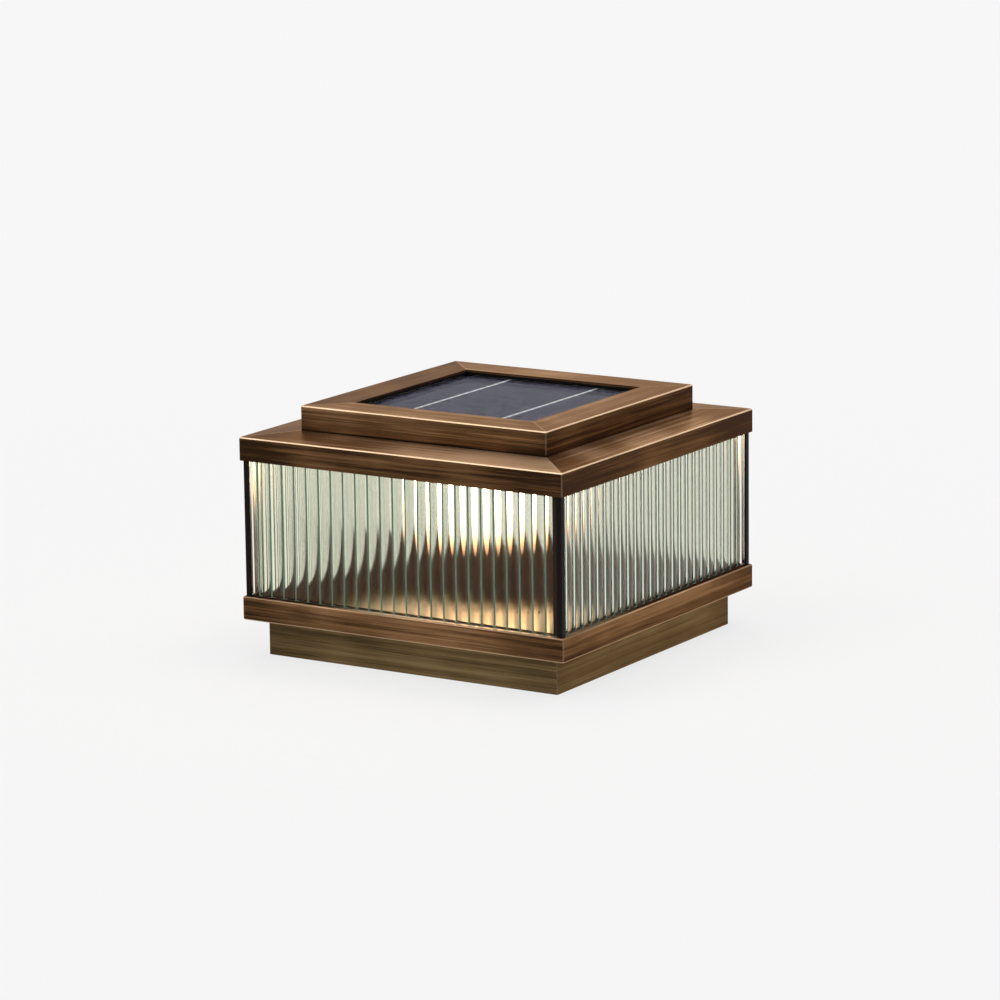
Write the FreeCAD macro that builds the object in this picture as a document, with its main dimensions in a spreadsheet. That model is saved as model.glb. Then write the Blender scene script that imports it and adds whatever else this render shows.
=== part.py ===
import FreeCAD, Part
import math
import os
import Sketcher

# Glazed solar light that caps a square deck post.
# Millimetres, +Z up, origin at the centre of the plinth's lower edge.
# The front of the lantern faces -Y, its right side +X.

SIZES = [
    # folded bronze sheet
    ("sheet_wall", 1.2, "thickness of the folded sheet"),
    ("fold_radius", 1.0, "outside radius of the folds"),
    # plinth, which slips over the post
    ("plinth_step", 9.75, "deck's side to the plinth's side"),
    ("plinth_height", 19.8, "plinth, lower edge to plate top"),
    ("pad_gap", 2.975, "rivet heads to the foam pad"),
    ("pad_margin", 10.25, "foam pad, screw holes to its opening"),
    ("pad_thickness", 2.0, "foam pad, compressed"),
    # deck, the lantern's floor
    ("deck_inset", 0.1, "roof's side to the deck's side"),
    ("deck_height", 12.9, "deck, plinth plate to floor"),
    ("rivet_margin", 0.975, "rivet heads to the plinth's wall and to the deck's opening"),
    ("rivet_shank", 4.0, "rivet, shank diameter"),
    ("rivet_head", 7.0, "rivet, head diameter"),
    ("rivet_crown", 4.2, "rivet, diameter of the head's flat crown"),
    ("rivet_rise", 1.0, "rivet, height of each head"),
    # screws into the post
    ("post_screw_spacing", 110.0, "post screws, hole to hole"),
    ("post_screw_hole", 5.5, "post screws, hole diameter"),
    ("sleeve_diameter", 10.0, "spacer sleeve, outside diameter"),
    # glazing
    ("window_height", 73.7, "floor to the roof's lower edge"),
    ("head_gap", 0.5, "roof's band to the corner posts and top ring"),
    ("glass_thickness", 5.0, "reeded pane, ridge to flat back"),
    ("glass_gap", 0.2, "clearance at each end of a pane"),
    ("flute_pitch", 7.75, "flutes, ridge to ridge"),
    ("flute_radius", 8.5, "flutes, radius of the hollow"),
    ("flute_land", 0.1, "flutes, width of a ridge's flat top"),
    ("first_ridge", 6.6, "pane's end to its first ridge"),
    ("gasket_thickness", 0.5, "glazing gasket, height"),
    ("gasket_setback", 1.0, "glazing gasket, glass face to its outer edge"),
    ("gasket_lap", 0.6, "glazing gasket, width beyond the pane's back"),
    ("post_leg", 3.0, "corner post, width of each leg"),
    ("post_thickness", 1.0, "corner post, thickness"),
    # ring on top of the panes
    ("ring_width", 14.3, "top ring, width of its flat"),
    ("ring_lip", 2.4, "top ring, height of the lip behind the panes"),
    ("ring_lip_gap", 0.3, "top ring, lip to the panes' back"),
    ("roof_overlap", 2.6, "roof's lower edge below the ring"),
    # roof
    ("seat_gap", 0.3, "head seal to top ring"),
    ("head_seal", 0.8, "head seal, thickness"),
    ("head_seal_width", 8.0, "head seal, width"),
    ("roof_ledge", 23.75, "roof, tray's wall to the roof's side"),
    ("band_height", 12.7, "roof, height of its band"),
    ("hip_rise", 1.7, "roof, rise of its hips up to the tray"),
    ("ceiling_flange", 4.0, "ceiling plate, height of its edge folded up"),
    ("roof_cut_gap", 1.0, "roof opening round the electronics box"),
    ("standoff_diameter", 6.0, "standoff, outside diameter"),
    ("screw_shank", 3.0, "small screws, shank diameter"),
    ("screw_head", 5.6, "small screws, head diameter"),
    ("screw_head_rise", 1.8, "small screws, height of the head"),
    ("screw_head_edge", 1.0, "small screws, height of the head's upright edge"),
    ("screw_crown", 3.4, "small screws, diameter of the head's flat crown"),
    ("screw_proud", 0.4, "tray screws, end beyond the nut"),
    ("nut_width", 5.5, "nuts, across flats"),
    ("nut_height", 2.4, "nuts, height"),
    ("nut_gap", 1.35, "nuts' corners to the tray's wall and to its flange opening"),
    # solar panel and its tray
    ("panel_lap", 4.75, "tray, lap over the panel's edge"),
    ("tray_seal", 1.2, "seal between tray and panel, thickness"),
    ("panel_gap", 3.5, "solar panel's edge to the electronics box's inner wall"),
    ("panel_glass", 1.6, "panel glass, thickness"),
    ("cell_margin", 3.0, "solar cells, panel's edge to the cells"),
    ("cell_thickness", 0.2, "solar cells, thickness"),
    ("ribbon_spacing", 55.4, "busbar ribbons, centre to centre"),
    ("ribbon_width", 1.6, "busbar ribbons, width"),
    ("ribbon_thickness", 0.15, "busbar ribbons, thickness"),
    ("back_sheet", 1.0, "panel's back sheet, thickness"),
    # electronics box
    ("box_gap", 2.9, "electronics box, wall to the battery holder"),
    ("box_wall", 1.5, "electronics box, wall"),
    ("box_rim", 2.0, "electronics box, thickness of the rim under the panel"),
    ("box_rim_gap", 0.6, "electronics box, rim to the tray's wall"),
    ("box_ledge", 3.0, "electronics box, width of the rim under the panel's edge"),
    # battery
    ("cell_diameter", 14.2, "battery cell, diameter"),
    ("cell_length", 50.0, "battery cell, length over its nub"),
    ("nub_length", 1.4, "battery cell, length of its nub"),
    ("nub_diameter", 5.4, "battery cell, diameter of its nub"),
    ("cell_gap", 0.3, "clearance round a battery cell"),
    ("holder_wall", 1.2, "battery holder, wall"),
    ("holder_headroom", 0.35, "battery holder to the panel's back"),
    ("contact_thickness", 0.4, "battery contacts, thickness"),
    ("contact_width", 10.0, "battery contacts, width"),
    ("door_lap", 3.0, "battery door, width beyond its opening"),
    ("door_gap", 38.8, "battery door to the dome's ring"),
    ("door_ear", 7.0, "battery door, length of the ear for each screw"),
    ("door_thickness", 1.2, "battery door, thickness"),
    # controller board
    ("board_length", 62.0, "controller board, length"),
    ("board_width", 38.0, "controller board, width"),
    ("board_thickness", 1.6, "both boards, thickness"),
    ("board_pillar", 3.0, "controller board, height above the box's floor"),
    ("pillar_diameter", 5.6, "pillars under the controller board, diameter"),
    ("board_gap", 16.5, "controller board, edge to the box's front wall"),
    ("chip_across", -11.4, "chip, place along X from the board's centre"),
    ("chip_along", -3.8, "chip, place along Y from the board's centre"),
    ("chip_length", 10.6, "chip, size along X"),
    ("chip_width", 7.6, "chip, size along Y"),
    ("chip_height", 2.3, "chip, height"),
    ("coil_across", 4.6, "coil, place along X from the board's centre"),
    ("coil_along", -8.4, "coil, place along Y from the board's centre"),
    ("coil_length", 8.4, "coil, size along X"),
    ("coil_width", 8.4, "coil, size along Y"),
    ("coil_height", 4.6, "coil, height"),
    ("solar_plug_across", -23.6, "panel's plug, place along X from the board's centre"),
    ("solar_plug_along", 7.6, "panel's plug, place along Y from the board's centre"),
    ("solar_plug_length", 7.6, "panel's plug, size along X"),
    ("solar_plug_width", 9.0, "panel's plug, size along Y"),
    ("solar_plug_height", 5.7, "panel's plug, height"),
    ("cell_plug_across", 2.0, "battery's plug, place along X from the board's centre"),
    ("cell_plug_along", 12.9, "battery's plug, place along Y from the board's centre"),
    ("cell_plug_length", 9.0, "battery's plug, size along X"),
    ("cell_plug_width", 6.0, "battery's plug, size along Y"),
    ("cell_plug_height", 5.7, "battery's plug, height"),
    ("capacitor_across", 19.8, "capacitor, place along X from the board's centre"),
    ("capacitor_along", 3.8, "capacitor, place along Y from the board's centre"),
    ("capacitor_diameter", 6.4, "capacitor, diameter"),
    ("capacitor_height", 6.8, "capacitor, height"),
    # lamp
    ("lamp_place", 25.0, "lamp, its centre in front of the lantern's centre"),
    ("lead_hole", 8.0, "hole for the lamp's lead"),
    ("wire_hole", 4.0, "LED board, hole for its wires"),
    ("led_board_gap", 1.0, "LED board, edge to the dome's inside"),
    ("led_circle", 13.0, "LEDs, diameter of their circle"),
    ("led_width", 3.5, "LED, width"),
    ("led_height", 1.4, "LED, height"),
    ("dome_diameter", 30.0, "diffuser dome, outside"),
    ("dome_wall", 1.6, "diffuser dome, wall"),
    ("dome_length", 59.6, "diffuser dome, ceiling to its lowest point"),
    ("dome_flange", 5.0, "diffuser dome, width of its flange"),
    ("dome_ring_width", 6.5, "dome ring, width of its foot"),
    ("dome_ring_wall", 1.0, "dome ring, thickness"),
    ("dome_gap", 0.3, "dome ring to dome"),
    # switch
    ("switch_gap", 7.5, "switch housing to the box's front and right walls"),
    ("switch_width", 12.0, "switch housing, width"),
    ("switch_height", 8.0, "switch housing, height"),
    ("button_diameter", 8.0, "switch button, diameter"),
    ("button_gap", 0.2, "clearance round the button"),
    ("button_proud", 2.6, "button's end below the ceiling plate"),
    ("button_travel", 1.5, "button, travel"),
    ("button_bore", 3.0, "switch housing, depth of the button's bore"),
]

doc = FreeCAD.newDocument("post_cap_light")
sheet = doc.addObject("Spreadsheet::Sheet", "sizes")
for row, (alias, size, note) in enumerate(SIZES, start=1):
    sheet.set(f"A{row}", note)
    sheet.set(f"B{row}", str(size))
    sheet.setAlias(f"B{row}", alias)
doc.recompute()

# Heights above the plinth's lower edge, from the post up to the tray.
Z_PLATE = "(sizes.plinth_height)"
Z_PAD = f"({Z_PLATE} - sizes.sheet_wall)"
Z_DECK = f"({Z_PLATE} + sizes.deck_height)"
Z_BAND = f"({Z_DECK} + sizes.window_height)"
Z_EAVES = f"({Z_BAND} + sizes.band_height)"
Z_ROOF = f"({Z_EAVES} + sizes.hip_rise)"
Z_RING = f"({Z_BAND} + sizes.roof_overlap)"
Z_RING_TOP = f"({Z_RING} + sizes.sheet_wall)"
Z_SEAL = f"({Z_RING_TOP} + sizes.seat_gap)"
Z_CEILING = f"({Z_SEAL} + sizes.head_seal)"
Z_FLOOR = f"({Z_CEILING} + sizes.sheet_wall)"
Z_BATTERY = f"({Z_FLOOR} + sizes.cell_gap + sizes.cell_diameter / 2)"
Z_HOLDER_TOP = f"({Z_BATTERY} + sizes.cell_diameter / 2 + sizes.cell_gap + sizes.holder_wall)"
Z_PANEL = f"({Z_HOLDER_TOP} + sizes.holder_headroom)"
Z_CELLS = f"({Z_PANEL} + sizes.back_sheet)"
Z_RIBBONS = f"({Z_CELLS} + sizes.cell_thickness)"
Z_GLASS = f"({Z_RIBBONS} + sizes.ribbon_thickness)"
Z_TRAY_SEAL = f"({Z_GLASS} + sizes.panel_glass)"
Z_TRAY_TOP = f"({Z_TRAY_SEAL} + sizes.tray_seal + sizes.sheet_wall)"

# Half widths from the lantern's centre line, each from the piece inside it.
SLOT_HALF_LENGTH = "(sizes.cell_length + sizes.contact_thickness * 3 + sizes.cell_gap * 2)"
SLOT_HALF_WIDTH = "(sizes.cell_diameter / 2 + sizes.cell_gap)"
HALF_DOME = "(sizes.dome_diameter / 2)"
HALF_DOME_IN = f"({HALF_DOME} - sizes.dome_wall)"
HALF_FLANGE = f"({HALF_DOME} + sizes.dome_flange)"
DOME_RING_WALL = f"({HALF_FLANGE} + sizes.dome_gap + sizes.dome_ring_wall)"
DOME_RING_EDGE = f"({DOME_RING_WALL} + sizes.dome_ring_width)"
DOOR_FRONT = f"({DOME_RING_EDGE} - sizes.lamp_place + sizes.door_gap)"
BATTERY_ROW = f"({DOOR_FRONT} + sizes.door_lap + {SLOT_HALF_WIDTH})"
HOLDER_HALF_WIDTH = f"({SLOT_HALF_WIDTH} + sizes.holder_wall)"
HOLDER_HALF_LENGTH = f"({SLOT_HALF_LENGTH} + sizes.holder_wall)"
HALF_BOX_IN = f"({BATTERY_ROW} + {HOLDER_HALF_WIDTH} + sizes.box_gap)"
HALF_BOX = f"({HALF_BOX_IN} + sizes.box_wall)"
HALF_PANEL = f"({HALF_BOX_IN} - sizes.panel_gap)"
HALF_CELLS = f"({HALF_PANEL} - sizes.cell_margin)"
HALF_TRAY_OPEN = f"({HALF_PANEL} - sizes.panel_lap)"
NUT_RADIUS = "(sizes.nut_width / sqrt(3))"
HALF_TRAY_FLANGE = f"({HALF_BOX} + sizes.roof_cut_gap)"
FASTENER_ROW = f"({HALF_TRAY_FLANGE} + sizes.nut_gap + {NUT_RADIUS})"
HALF_TRAY_IN = f"({FASTENER_ROW} + {NUT_RADIUS} + sizes.nut_gap)"
HALF_TRAY = f"({HALF_TRAY_IN} + sizes.sheet_wall)"
HALF_ROOF = f"({HALF_TRAY} + sizes.roof_ledge)"
HALF_ROOF_IN = f"({HALF_ROOF} - sizes.sheet_wall)"
HALF_POST = f"({HALF_ROOF_IN} - sizes.head_gap)"
HALF_RING_OPEN = f"({HALF_POST} - sizes.ring_width)"
HALF_GLASS = f"({HALF_POST} - sizes.post_thickness)"
HALF_GLASS_IN = f"({HALF_GLASS} - sizes.glass_thickness)"
HALF_DECK = f"({HALF_ROOF} - sizes.deck_inset)"
HALF_DECK_IN = f"({HALF_DECK} - sizes.sheet_wall)"
HALF_PLINTH = f"({HALF_DECK} - sizes.plinth_step)"
HALF_PLINTH_IN = f"({HALF_PLINTH} - sizes.sheet_wall)"
RIVET_ROW = f"({HALF_PLINTH_IN} - sizes.rivet_margin - sizes.rivet_head / 2)"
HALF_DECK_OPEN = f"({RIVET_ROW} - sizes.rivet_head / 2 - sizes.rivet_margin)"
HALF_PAD = f"({RIVET_ROW} - sizes.rivet_head / 2 - sizes.pad_gap)"

ZERO = "0"
QUARTER_TURN = 90.0
TOUCH = 1e-4


def value(expression):
    """Work out an expression of the sheet's sizes."""
    return float(sheet.evalExpression(expression))


def new_body(label, turn=0.0):
    """Start a piece, turned about the lantern's centre line."""
    body = doc.addObject("PartDesign::Body", label)
    body.Label = label
    body.Placement = FreeCAD.Placement(FreeCAD.Vector(), FreeCAD.Rotation(turn, 0, 0))
    return body


def new_sketch(body, name, height=ZERO, role="XY_Plane"):
    """Lay a sketch on one of the piece's own planes, raised by a height."""
    plane = next(item for item in body.Origin.OriginFeatures if item.Role == role)
    sketch = body.newObject("Sketcher::SketchObject", name)
    sketch.AttachmentSupport = [(plane, "")]
    sketch.MapMode = "FlatFace"
    sketch.setExpression("AttachmentOffset.Base.z", height)
    return sketch


def bind(sketch, kind, *references, size):
    """Add a dimension to a sketch and tie it to the sheet."""
    index = sketch.addConstraint(Sketcher.Constraint(kind, *references, value(size)))
    sketch.setExpression(f"Constraints[{index}]", size)


def place_point(sketch, point, across, along):
    """Tie a point of a sketch to its two coordinates, or lay it on an axis."""
    # A sketch numbers its level axis -1 and its upright axis -2; they meet at (-1, 1).
    for kind, axis, size in (("DistanceX", -2, across), ("DistanceY", -1, along)):
        if size == ZERO:
            sketch.addConstraint(Sketcher.Constraint("PointOnObject", *point, axis))
        else:
            bind(sketch, kind, -1, 1, *point, size=size)


def outline(sketch, points):
    """Draw a closed outline through points given as pairs of expressions."""
    first = sketch.GeometryCount
    corners = [FreeCAD.Vector(value(across), value(along), 0) for across, along in points]
    count = len(corners)
    for index, corner in enumerate(corners):
        sketch.addGeometry(Part.LineSegment(corner, corners[(index + 1) % count]), False)
    for index, (across, along) in enumerate(points):
        line = first + index
        before = first + (index - 1) % count
        sketch.addConstraint(Sketcher.Constraint("Coincident", before, 2, line, 1))
        place_point(sketch, (line, 1), across, along)


def rectangle(sketch, half_across, half_along=None, across=ZERO, along=ZERO):
    """Draw a rectangle about a centre; one half width alone makes a square."""
    half_along = half_along or half_across
    left = f"({across} - {half_across})"
    right = f"({across} + {half_across})"
    low = f"({along} - {half_along})"
    high = f"({along} + {half_along})"
    outline(sketch, [(left, low), (right, low), (right, high), (left, high)])


def circle(sketch, radius, across=ZERO, along=ZERO):
    """Draw a circle about a centre."""
    centre = FreeCAD.Vector(value(across), value(along), 0)
    shape = Part.Circle(centre, FreeCAD.Vector(0, 0, 1), value(radius))
    index = sketch.addGeometry(shape, False)
    place_point(sketch, (index, 3), across, along)
    bind(sketch, "Radius", index, size=radius)


def pad(sketch, length, name):
    """Raise a sketch by a length."""
    body = sketch.getParentGeoFeatureGroup()
    feature = body.newObject("PartDesign::Pad", name)
    feature.Profile = sketch
    feature.setExpression("Length", length)
    sketch.Visibility = False
    return feature


def pocket(sketch, length, name, upward=True):
    """Cut a sketch out of its piece, upwards or downwards from the sketch."""
    body = sketch.getParentGeoFeatureGroup()
    feature = body.newObject("PartDesign::Pocket", name)
    feature.Profile = sketch
    feature.setExpression("Length", length)
    feature.Reversed = upward
    return feature


def loft(body, kind, lower, upper, name):
    """Join two sketches by straight faces, adding to the piece or cutting it."""
    feature = body.newObject(f"PartDesign::{kind}Loft", name)
    feature.Profile = lower
    feature.Sections = [upper]
    feature.Ruled = True
    return feature


def fillet(body, radius, name, wanted):
    """Round the edges of a piece that a test picks out."""
    doc.recompute()
    base = body.Tip
    names = [f"Edge{index}" for index, edge in enumerate(base.Shape.Edges, start=1) if wanted(edge)]
    feature = body.newObject("PartDesign::Fillet", name)
    feature.Base = (base, names)
    feature.setExpression("Radius", radius)
    return feature


def around(body, feature, count, name):
    """Repeat a feature round the piece's upright axis."""
    axis = next(item for item in body.Origin.OriginFeatures if item.Role == "Z_Axis")
    pattern = body.newObject("PartDesign::PolarPattern", name)
    pattern.Originals = [feature]
    pattern.Axis = (axis, [""])
    pattern.Angle = 360
    pattern.setExpression("Occurrences", str(count))
    body.Tip = pattern
    return pattern


def fold_edges(half, *levels):
    """Pick the upright corners of a square and its edges at the given heights."""
    reach = value(half)
    heights = [value(level) for level in levels]

    def wanted(edge):
        box = edge.BoundBox
        on_x = abs(max(abs(box.XMin), abs(box.XMax)) - reach) < TOUCH
        on_y = abs(max(abs(box.YMin), abs(box.YMax)) - reach) < TOUCH
        upright = box.XLength < TOUCH and box.YLength < TOUCH and on_x and on_y
        level = box.ZLength < TOUCH and any(abs(box.ZMin - height) < TOUCH for height in heights)
        return upright or (level and on_x and on_y)

    return wanted


def plate(label, half, bottom, thickness):
    """A flat square plate."""
    body = new_body(label)
    sketch = new_sketch(body, f"{label}_outline", bottom)
    rectangle(sketch, half)
    pad(sketch, thickness, f"{label}_pad")
    return body


def frame_piece(label, half, half_open, bottom, thickness):
    """A flat square frame, such as a gasket."""
    body = new_body(label)
    sketch = new_sketch(body, f"{label}_outline", bottom)
    rectangle(sketch, half)
    rectangle(sketch, half_open)
    pad(sketch, thickness, f"{label}_pad")
    return body


def cut_square(body, name, half, bottom, height):
    """Cut a square space out of a piece, upwards from a height."""
    sketch = new_sketch(body, f"{name}_outline", bottom)
    rectangle(sketch, half)
    return pocket(sketch, height, name)


def cut_holes(body, name, radius, places, bottom, height):
    """Cut round holes out of a piece, upwards from a height."""
    sketch = new_sketch(body, f"{name}_outline", bottom)
    for across, along in places:
        circle(sketch, radius, across, along)
    return pocket(sketch, height, name)


def four_corners(reach):
    """The four places of a square pattern about the centre."""
    return [(f"({x} * {reach})", f"({y} * {reach})") for x in (-1, 1) for y in (-1, 1)]


def four_sides(reach):
    """The four places where the axes cross a square about the centre."""
    return [(f"{reach}", ZERO), (f"(-{reach})", ZERO), (ZERO, f"{reach}"), (ZERO, f"(-{reach})")]


def turned(label, profile, reach=ZERO, count=1, turn=0.0):
    """A turned piece, or several on a circle, from radii and heights of its half section."""
    body = new_body(label, turn)
    sketch = new_sketch(body, f"{label}_section", role="XZ_Plane")
    outline(sketch, [(f"({reach} + {radius})", height) for radius, height in profile])
    revolution = body.newObject("PartDesign::Revolution", f"{label}_turn")
    revolution.Profile = sketch
    if reach == ZERO:
        revolution.ReferenceAxis = (sketch, ["V_Axis"])
    else:
        low = FreeCAD.Vector(value(reach), value(profile[0][1]), 0)
        high = FreeCAD.Vector(value(reach), value(profile[-1][1]) + 1, 0)
        axis = sketch.addGeometry(Part.LineSegment(low, high), True)
        place_point(sketch, (axis, 1), reach, profile[0][1])
        sketch.addConstraint(Sketcher.Constraint("Vertical", axis))
        sketch.addConstraint(Sketcher.Constraint("DistanceY", axis, 1, axis, 2, high.y - low.y))
        revolution.ReferenceAxis = (sketch, ["Axis0"])
    revolution.Angle = 360
    if count > 1:
        around(body, revolution, count, f"{label}_ring")
    return body


def screw_profile(seat, tip):
    """Half section of a pan head screw, driven upwards, that seats at a height."""
    crown = f"({seat} - sizes.screw_head_rise)"
    edge = f"({seat} - sizes.screw_head_edge)"
    return [
        (ZERO, crown),
        ("(sizes.screw_crown / 2)", crown),
        ("(sizes.screw_head / 2)", edge),
        ("(sizes.screw_head / 2)", seat),
        ("(sizes.screw_shank / 2)", seat),
        ("(sizes.screw_shank / 2)", tip),
        (ZERO, tip),
    ]


# --- Lower box: plinth, deck and what joins them -------------------------------------------

POST_SCREW = "(sizes.post_screw_spacing / 2)"
HOLE = "(sizes.post_screw_hole / 2)"
SLEEVE_LENGTH = "(sizes.deck_height - sizes.sheet_wall)"


def make_plinth():
    """Folded pan, open below, with a foam pad under its plate."""
    body = plate("plinth", HALF_PLINTH, ZERO, Z_PLATE)
    fillet(body, "sizes.fold_radius", "plinth_folds", fold_edges(HALF_PLINTH, Z_PLATE))
    cut_square(body, "post_socket", HALF_PLINTH_IN, ZERO, Z_PAD)
    cut_holes(body, "screw_holes", HOLE, four_corners(POST_SCREW), Z_PAD, "sizes.sheet_wall")
    cut_holes(body, "rivet_holes", "(sizes.rivet_shank / 2)", four_sides(RIVET_ROW), Z_PAD,
              "sizes.sheet_wall")
    pad_bottom = f"({Z_PAD} - sizes.pad_thickness)"
    pad_open = f"({POST_SCREW} - {HOLE} - sizes.pad_margin)"
    post_pad = frame_piece("post_pad", HALF_PAD, pad_open, pad_bottom, "sizes.pad_thickness")
    cut_holes(post_pad, "pad_holes", HOLE, four_corners(POST_SCREW), pad_bottom,
              "sizes.pad_thickness")


def make_deck():
    """Wider pan whose flat top is the floor, with a flange folded in below."""
    body = plate("deck", HALF_DECK, Z_PLATE, "sizes.deck_height")
    fillet(body, "sizes.fold_radius", "deck_folds", fold_edges(HALF_DECK, Z_PLATE, Z_DECK))
    cut_square(body, "deck_opening", HALF_DECK_OPEN, Z_PLATE, SLEEVE_LENGTH)
    cut_square(body, "deck_hollow", HALF_DECK_IN, f"({Z_PLATE} + sizes.sheet_wall)",
               "(sizes.deck_height - 2 * sizes.sheet_wall)")
    cut_holes(body, "floor_holes", HOLE, four_corners(POST_SCREW),
              f"({Z_DECK} - sizes.sheet_wall)", "sizes.sheet_wall")
    cut_holes(body, "flange_holes", "(sizes.rivet_shank / 2)", four_sides(RIVET_ROW), Z_PLATE,
              "sizes.sheet_wall")


def make_lower_fasteners():
    """Spacer sleeves round the post screws, and rivets through deck and plinth."""
    sleeve_top = f"({Z_PLATE} + {SLEEVE_LENGTH})"
    bore_and_wall = [(HOLE, Z_PLATE), ("(sizes.sleeve_diameter / 2)", Z_PLATE),
                     ("(sizes.sleeve_diameter / 2)", sleeve_top), (HOLE, sleeve_top)]
    turned("screw_sleeves", bore_and_wall, f"({POST_SCREW} * sqrt(2))", 4, QUARTER_TURN / 2)
    upper = f"({Z_PLATE} + sizes.sheet_wall)"
    profile = [
        (ZERO, f"({Z_PAD} - sizes.rivet_rise)"),
        ("(sizes.rivet_crown / 2)", f"({Z_PAD} - sizes.rivet_rise)"),
        ("(sizes.rivet_head / 2)", Z_PAD),
        ("(sizes.rivet_shank / 2)", Z_PAD),
        ("(sizes.rivet_shank / 2)", upper),
        ("(sizes.rivet_head / 2)", upper),
        ("(sizes.rivet_crown / 2)", f"({upper} + sizes.rivet_rise)"),
        (ZERO, f"({upper} + sizes.rivet_rise)"),
    ]
    turned("deck_rivets", profile, RIVET_ROW, 4)


# --- Glazing: four reeded panes, each lapped by the next, between corner posts --------------

PANE_START = f"(-{HALF_GLASS} + sizes.glass_gap)"
PANE_END = f"({HALF_GLASS_IN} - sizes.glass_gap)"
Z_PANE = f"({Z_DECK} + sizes.gasket_thickness)"
PANE_HEIGHT = f"({Z_RING} - sizes.gasket_thickness - {Z_PANE})"
HALF_CHORD = "((sizes.flute_pitch - sizes.flute_land) / 2)"
FLUTE_CENTRE = f"({PANE_START} + sizes.first_ridge - sizes.flute_pitch / 2)"
FLUTE_AXIS = f"(-{HALF_GLASS} - sqrt(sizes.flute_radius ^ 2 - {HALF_CHORD} ^ 2))"
FLUTE_COUNT = f"ceil(({PANE_END} - {PANE_START} - sizes.first_ridge) / sizes.flute_pitch + 1)"


def flute_outline(sketch):
    """Draw one hollow of the reeded face: an arc closed by its chord."""
    radius = value("sizes.flute_radius")
    centre = FreeCAD.Vector(value(FLUTE_CENTRE), value(FLUTE_AXIS), 0)
    opening = math.asin(value(HALF_CHORD) / radius)
    base = Part.Circle(centre, FreeCAD.Vector(0, 0, 1), radius)
    up = math.pi / 2
    arc = sketch.addGeometry(Part.ArcOfCircle(base, up - opening, up + opening), False)
    ends = [FreeCAD.Vector(centre.x + side * value(HALF_CHORD), value(f"-{HALF_GLASS}"), 0)
            for side in (-1, 1)]
    chord = sketch.addGeometry(Part.LineSegment(*ends), False)
    sketch.addConstraint(Sketcher.Constraint("Coincident", arc, 1, chord, 2))
    sketch.addConstraint(Sketcher.Constraint("Coincident", arc, 2, chord, 1))
    place_point(sketch, (chord, 1), f"({FLUTE_CENTRE} - {HALF_CHORD})", f"(-{HALF_GLASS})")
    place_point(sketch, (chord, 2), f"({FLUTE_CENTRE} + {HALF_CHORD})", f"(-{HALF_GLASS})")
    bind(sketch, "Radius", arc, size="sizes.flute_radius")


def make_pane(label, turn):
    """Pane with hollow flutes rolled side by side into its outer face."""
    body = new_body(label, turn)
    sketch = new_sketch(body, f"{label}_outline", Z_PANE)
    outline(sketch, [
        (PANE_START, f"(-{HALF_GLASS})"),
        (PANE_END, f"(-{HALF_GLASS})"),
        (PANE_END, f"(-{HALF_GLASS_IN})"),
        (PANE_START, f"(-{HALF_GLASS_IN})"),
    ])
    pad(sketch, PANE_HEIGHT, f"{label}_pad")
    hollow = new_sketch(body, f"{label}_hollow", Z_PANE)
    flute_outline(hollow)
    flute = pocket(hollow, PANE_HEIGHT, f"{label}_flute")
    across = next(item for item in body.Origin.OriginFeatures if item.Role == "X_Axis")
    pattern = body.newObject("PartDesign::LinearPattern", f"{label}_flutes")
    pattern.Originals = [flute]
    pattern.Direction = (across, [""])
    pattern.setExpression("Length", f"sizes.flute_pitch * ({FLUTE_COUNT} - 1)")
    pattern.setExpression("Occurrences", FLUTE_COUNT)
    body.Tip = pattern


def make_post(label, turn):
    """L angle that stands outside the corner of two panes."""
    body = new_body(label, turn)
    sketch = new_sketch(body, f"{label}_outline", Z_DECK)
    inner = f"({HALF_POST} - sizes.post_leg)"
    outline(sketch, [
        (inner, f"(-{HALF_POST})"),
        (HALF_POST, f"(-{HALF_POST})"),
        (HALF_POST, f"(-{inner})"),
        (HALF_GLASS, f"(-{inner})"),
        (HALF_GLASS, f"(-{HALF_GLASS})"),
        (inner, f"(-{HALF_GLASS})"),
    ])
    pad(sketch, f"({Z_RING} - {Z_DECK})", f"{label}_pad")


def make_glazing():
    """Panes, posts, gaskets and the ring that ties their tops together."""
    for index, side in enumerate(("front", "right", "back", "left")):
        make_pane(f"glass_{side}", index * QUARTER_TURN)
    corners = ("front_right", "back_right", "back_left", "front_left")
    for index, corner in enumerate(corners):
        make_post(f"corner_post_{corner}", index * QUARTER_TURN)
    gasket_open = f"({HALF_GLASS_IN} - sizes.gasket_lap)"
    gasket_edge = f"({HALF_GLASS} - sizes.gasket_setback)"
    frame_piece("glazing_gasket_lower", gasket_edge, gasket_open, Z_DECK, "sizes.gasket_thickness")
    frame_piece("glazing_gasket_upper", gasket_edge, f"({HALF_GLASS_IN} - sizes.ring_lip_gap / 2)",
                f"({Z_RING} - sizes.gasket_thickness)", "sizes.gasket_thickness")
    lip = f"({HALF_GLASS_IN} - sizes.ring_lip_gap)"
    ring = plate("top_ring", lip, f"({Z_RING} - sizes.ring_lip)", "sizes.ring_lip")
    sketch = new_sketch(ring, "ring_flat_outline", Z_RING)
    rectangle(sketch, HALF_POST)
    pad(sketch, "sizes.sheet_wall", "ring_flat")
    cut_square(ring, "ring_opening", HALF_RING_OPEN, Z_RING, "sizes.sheet_wall")
    cut_square(ring, "lip_opening", f"({lip} - sizes.sheet_wall)",
               f"({Z_RING} - sizes.ring_lip)", "sizes.ring_lip")


# --- Head: roof, ceiling and tray ------------------------------------------------------------

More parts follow.
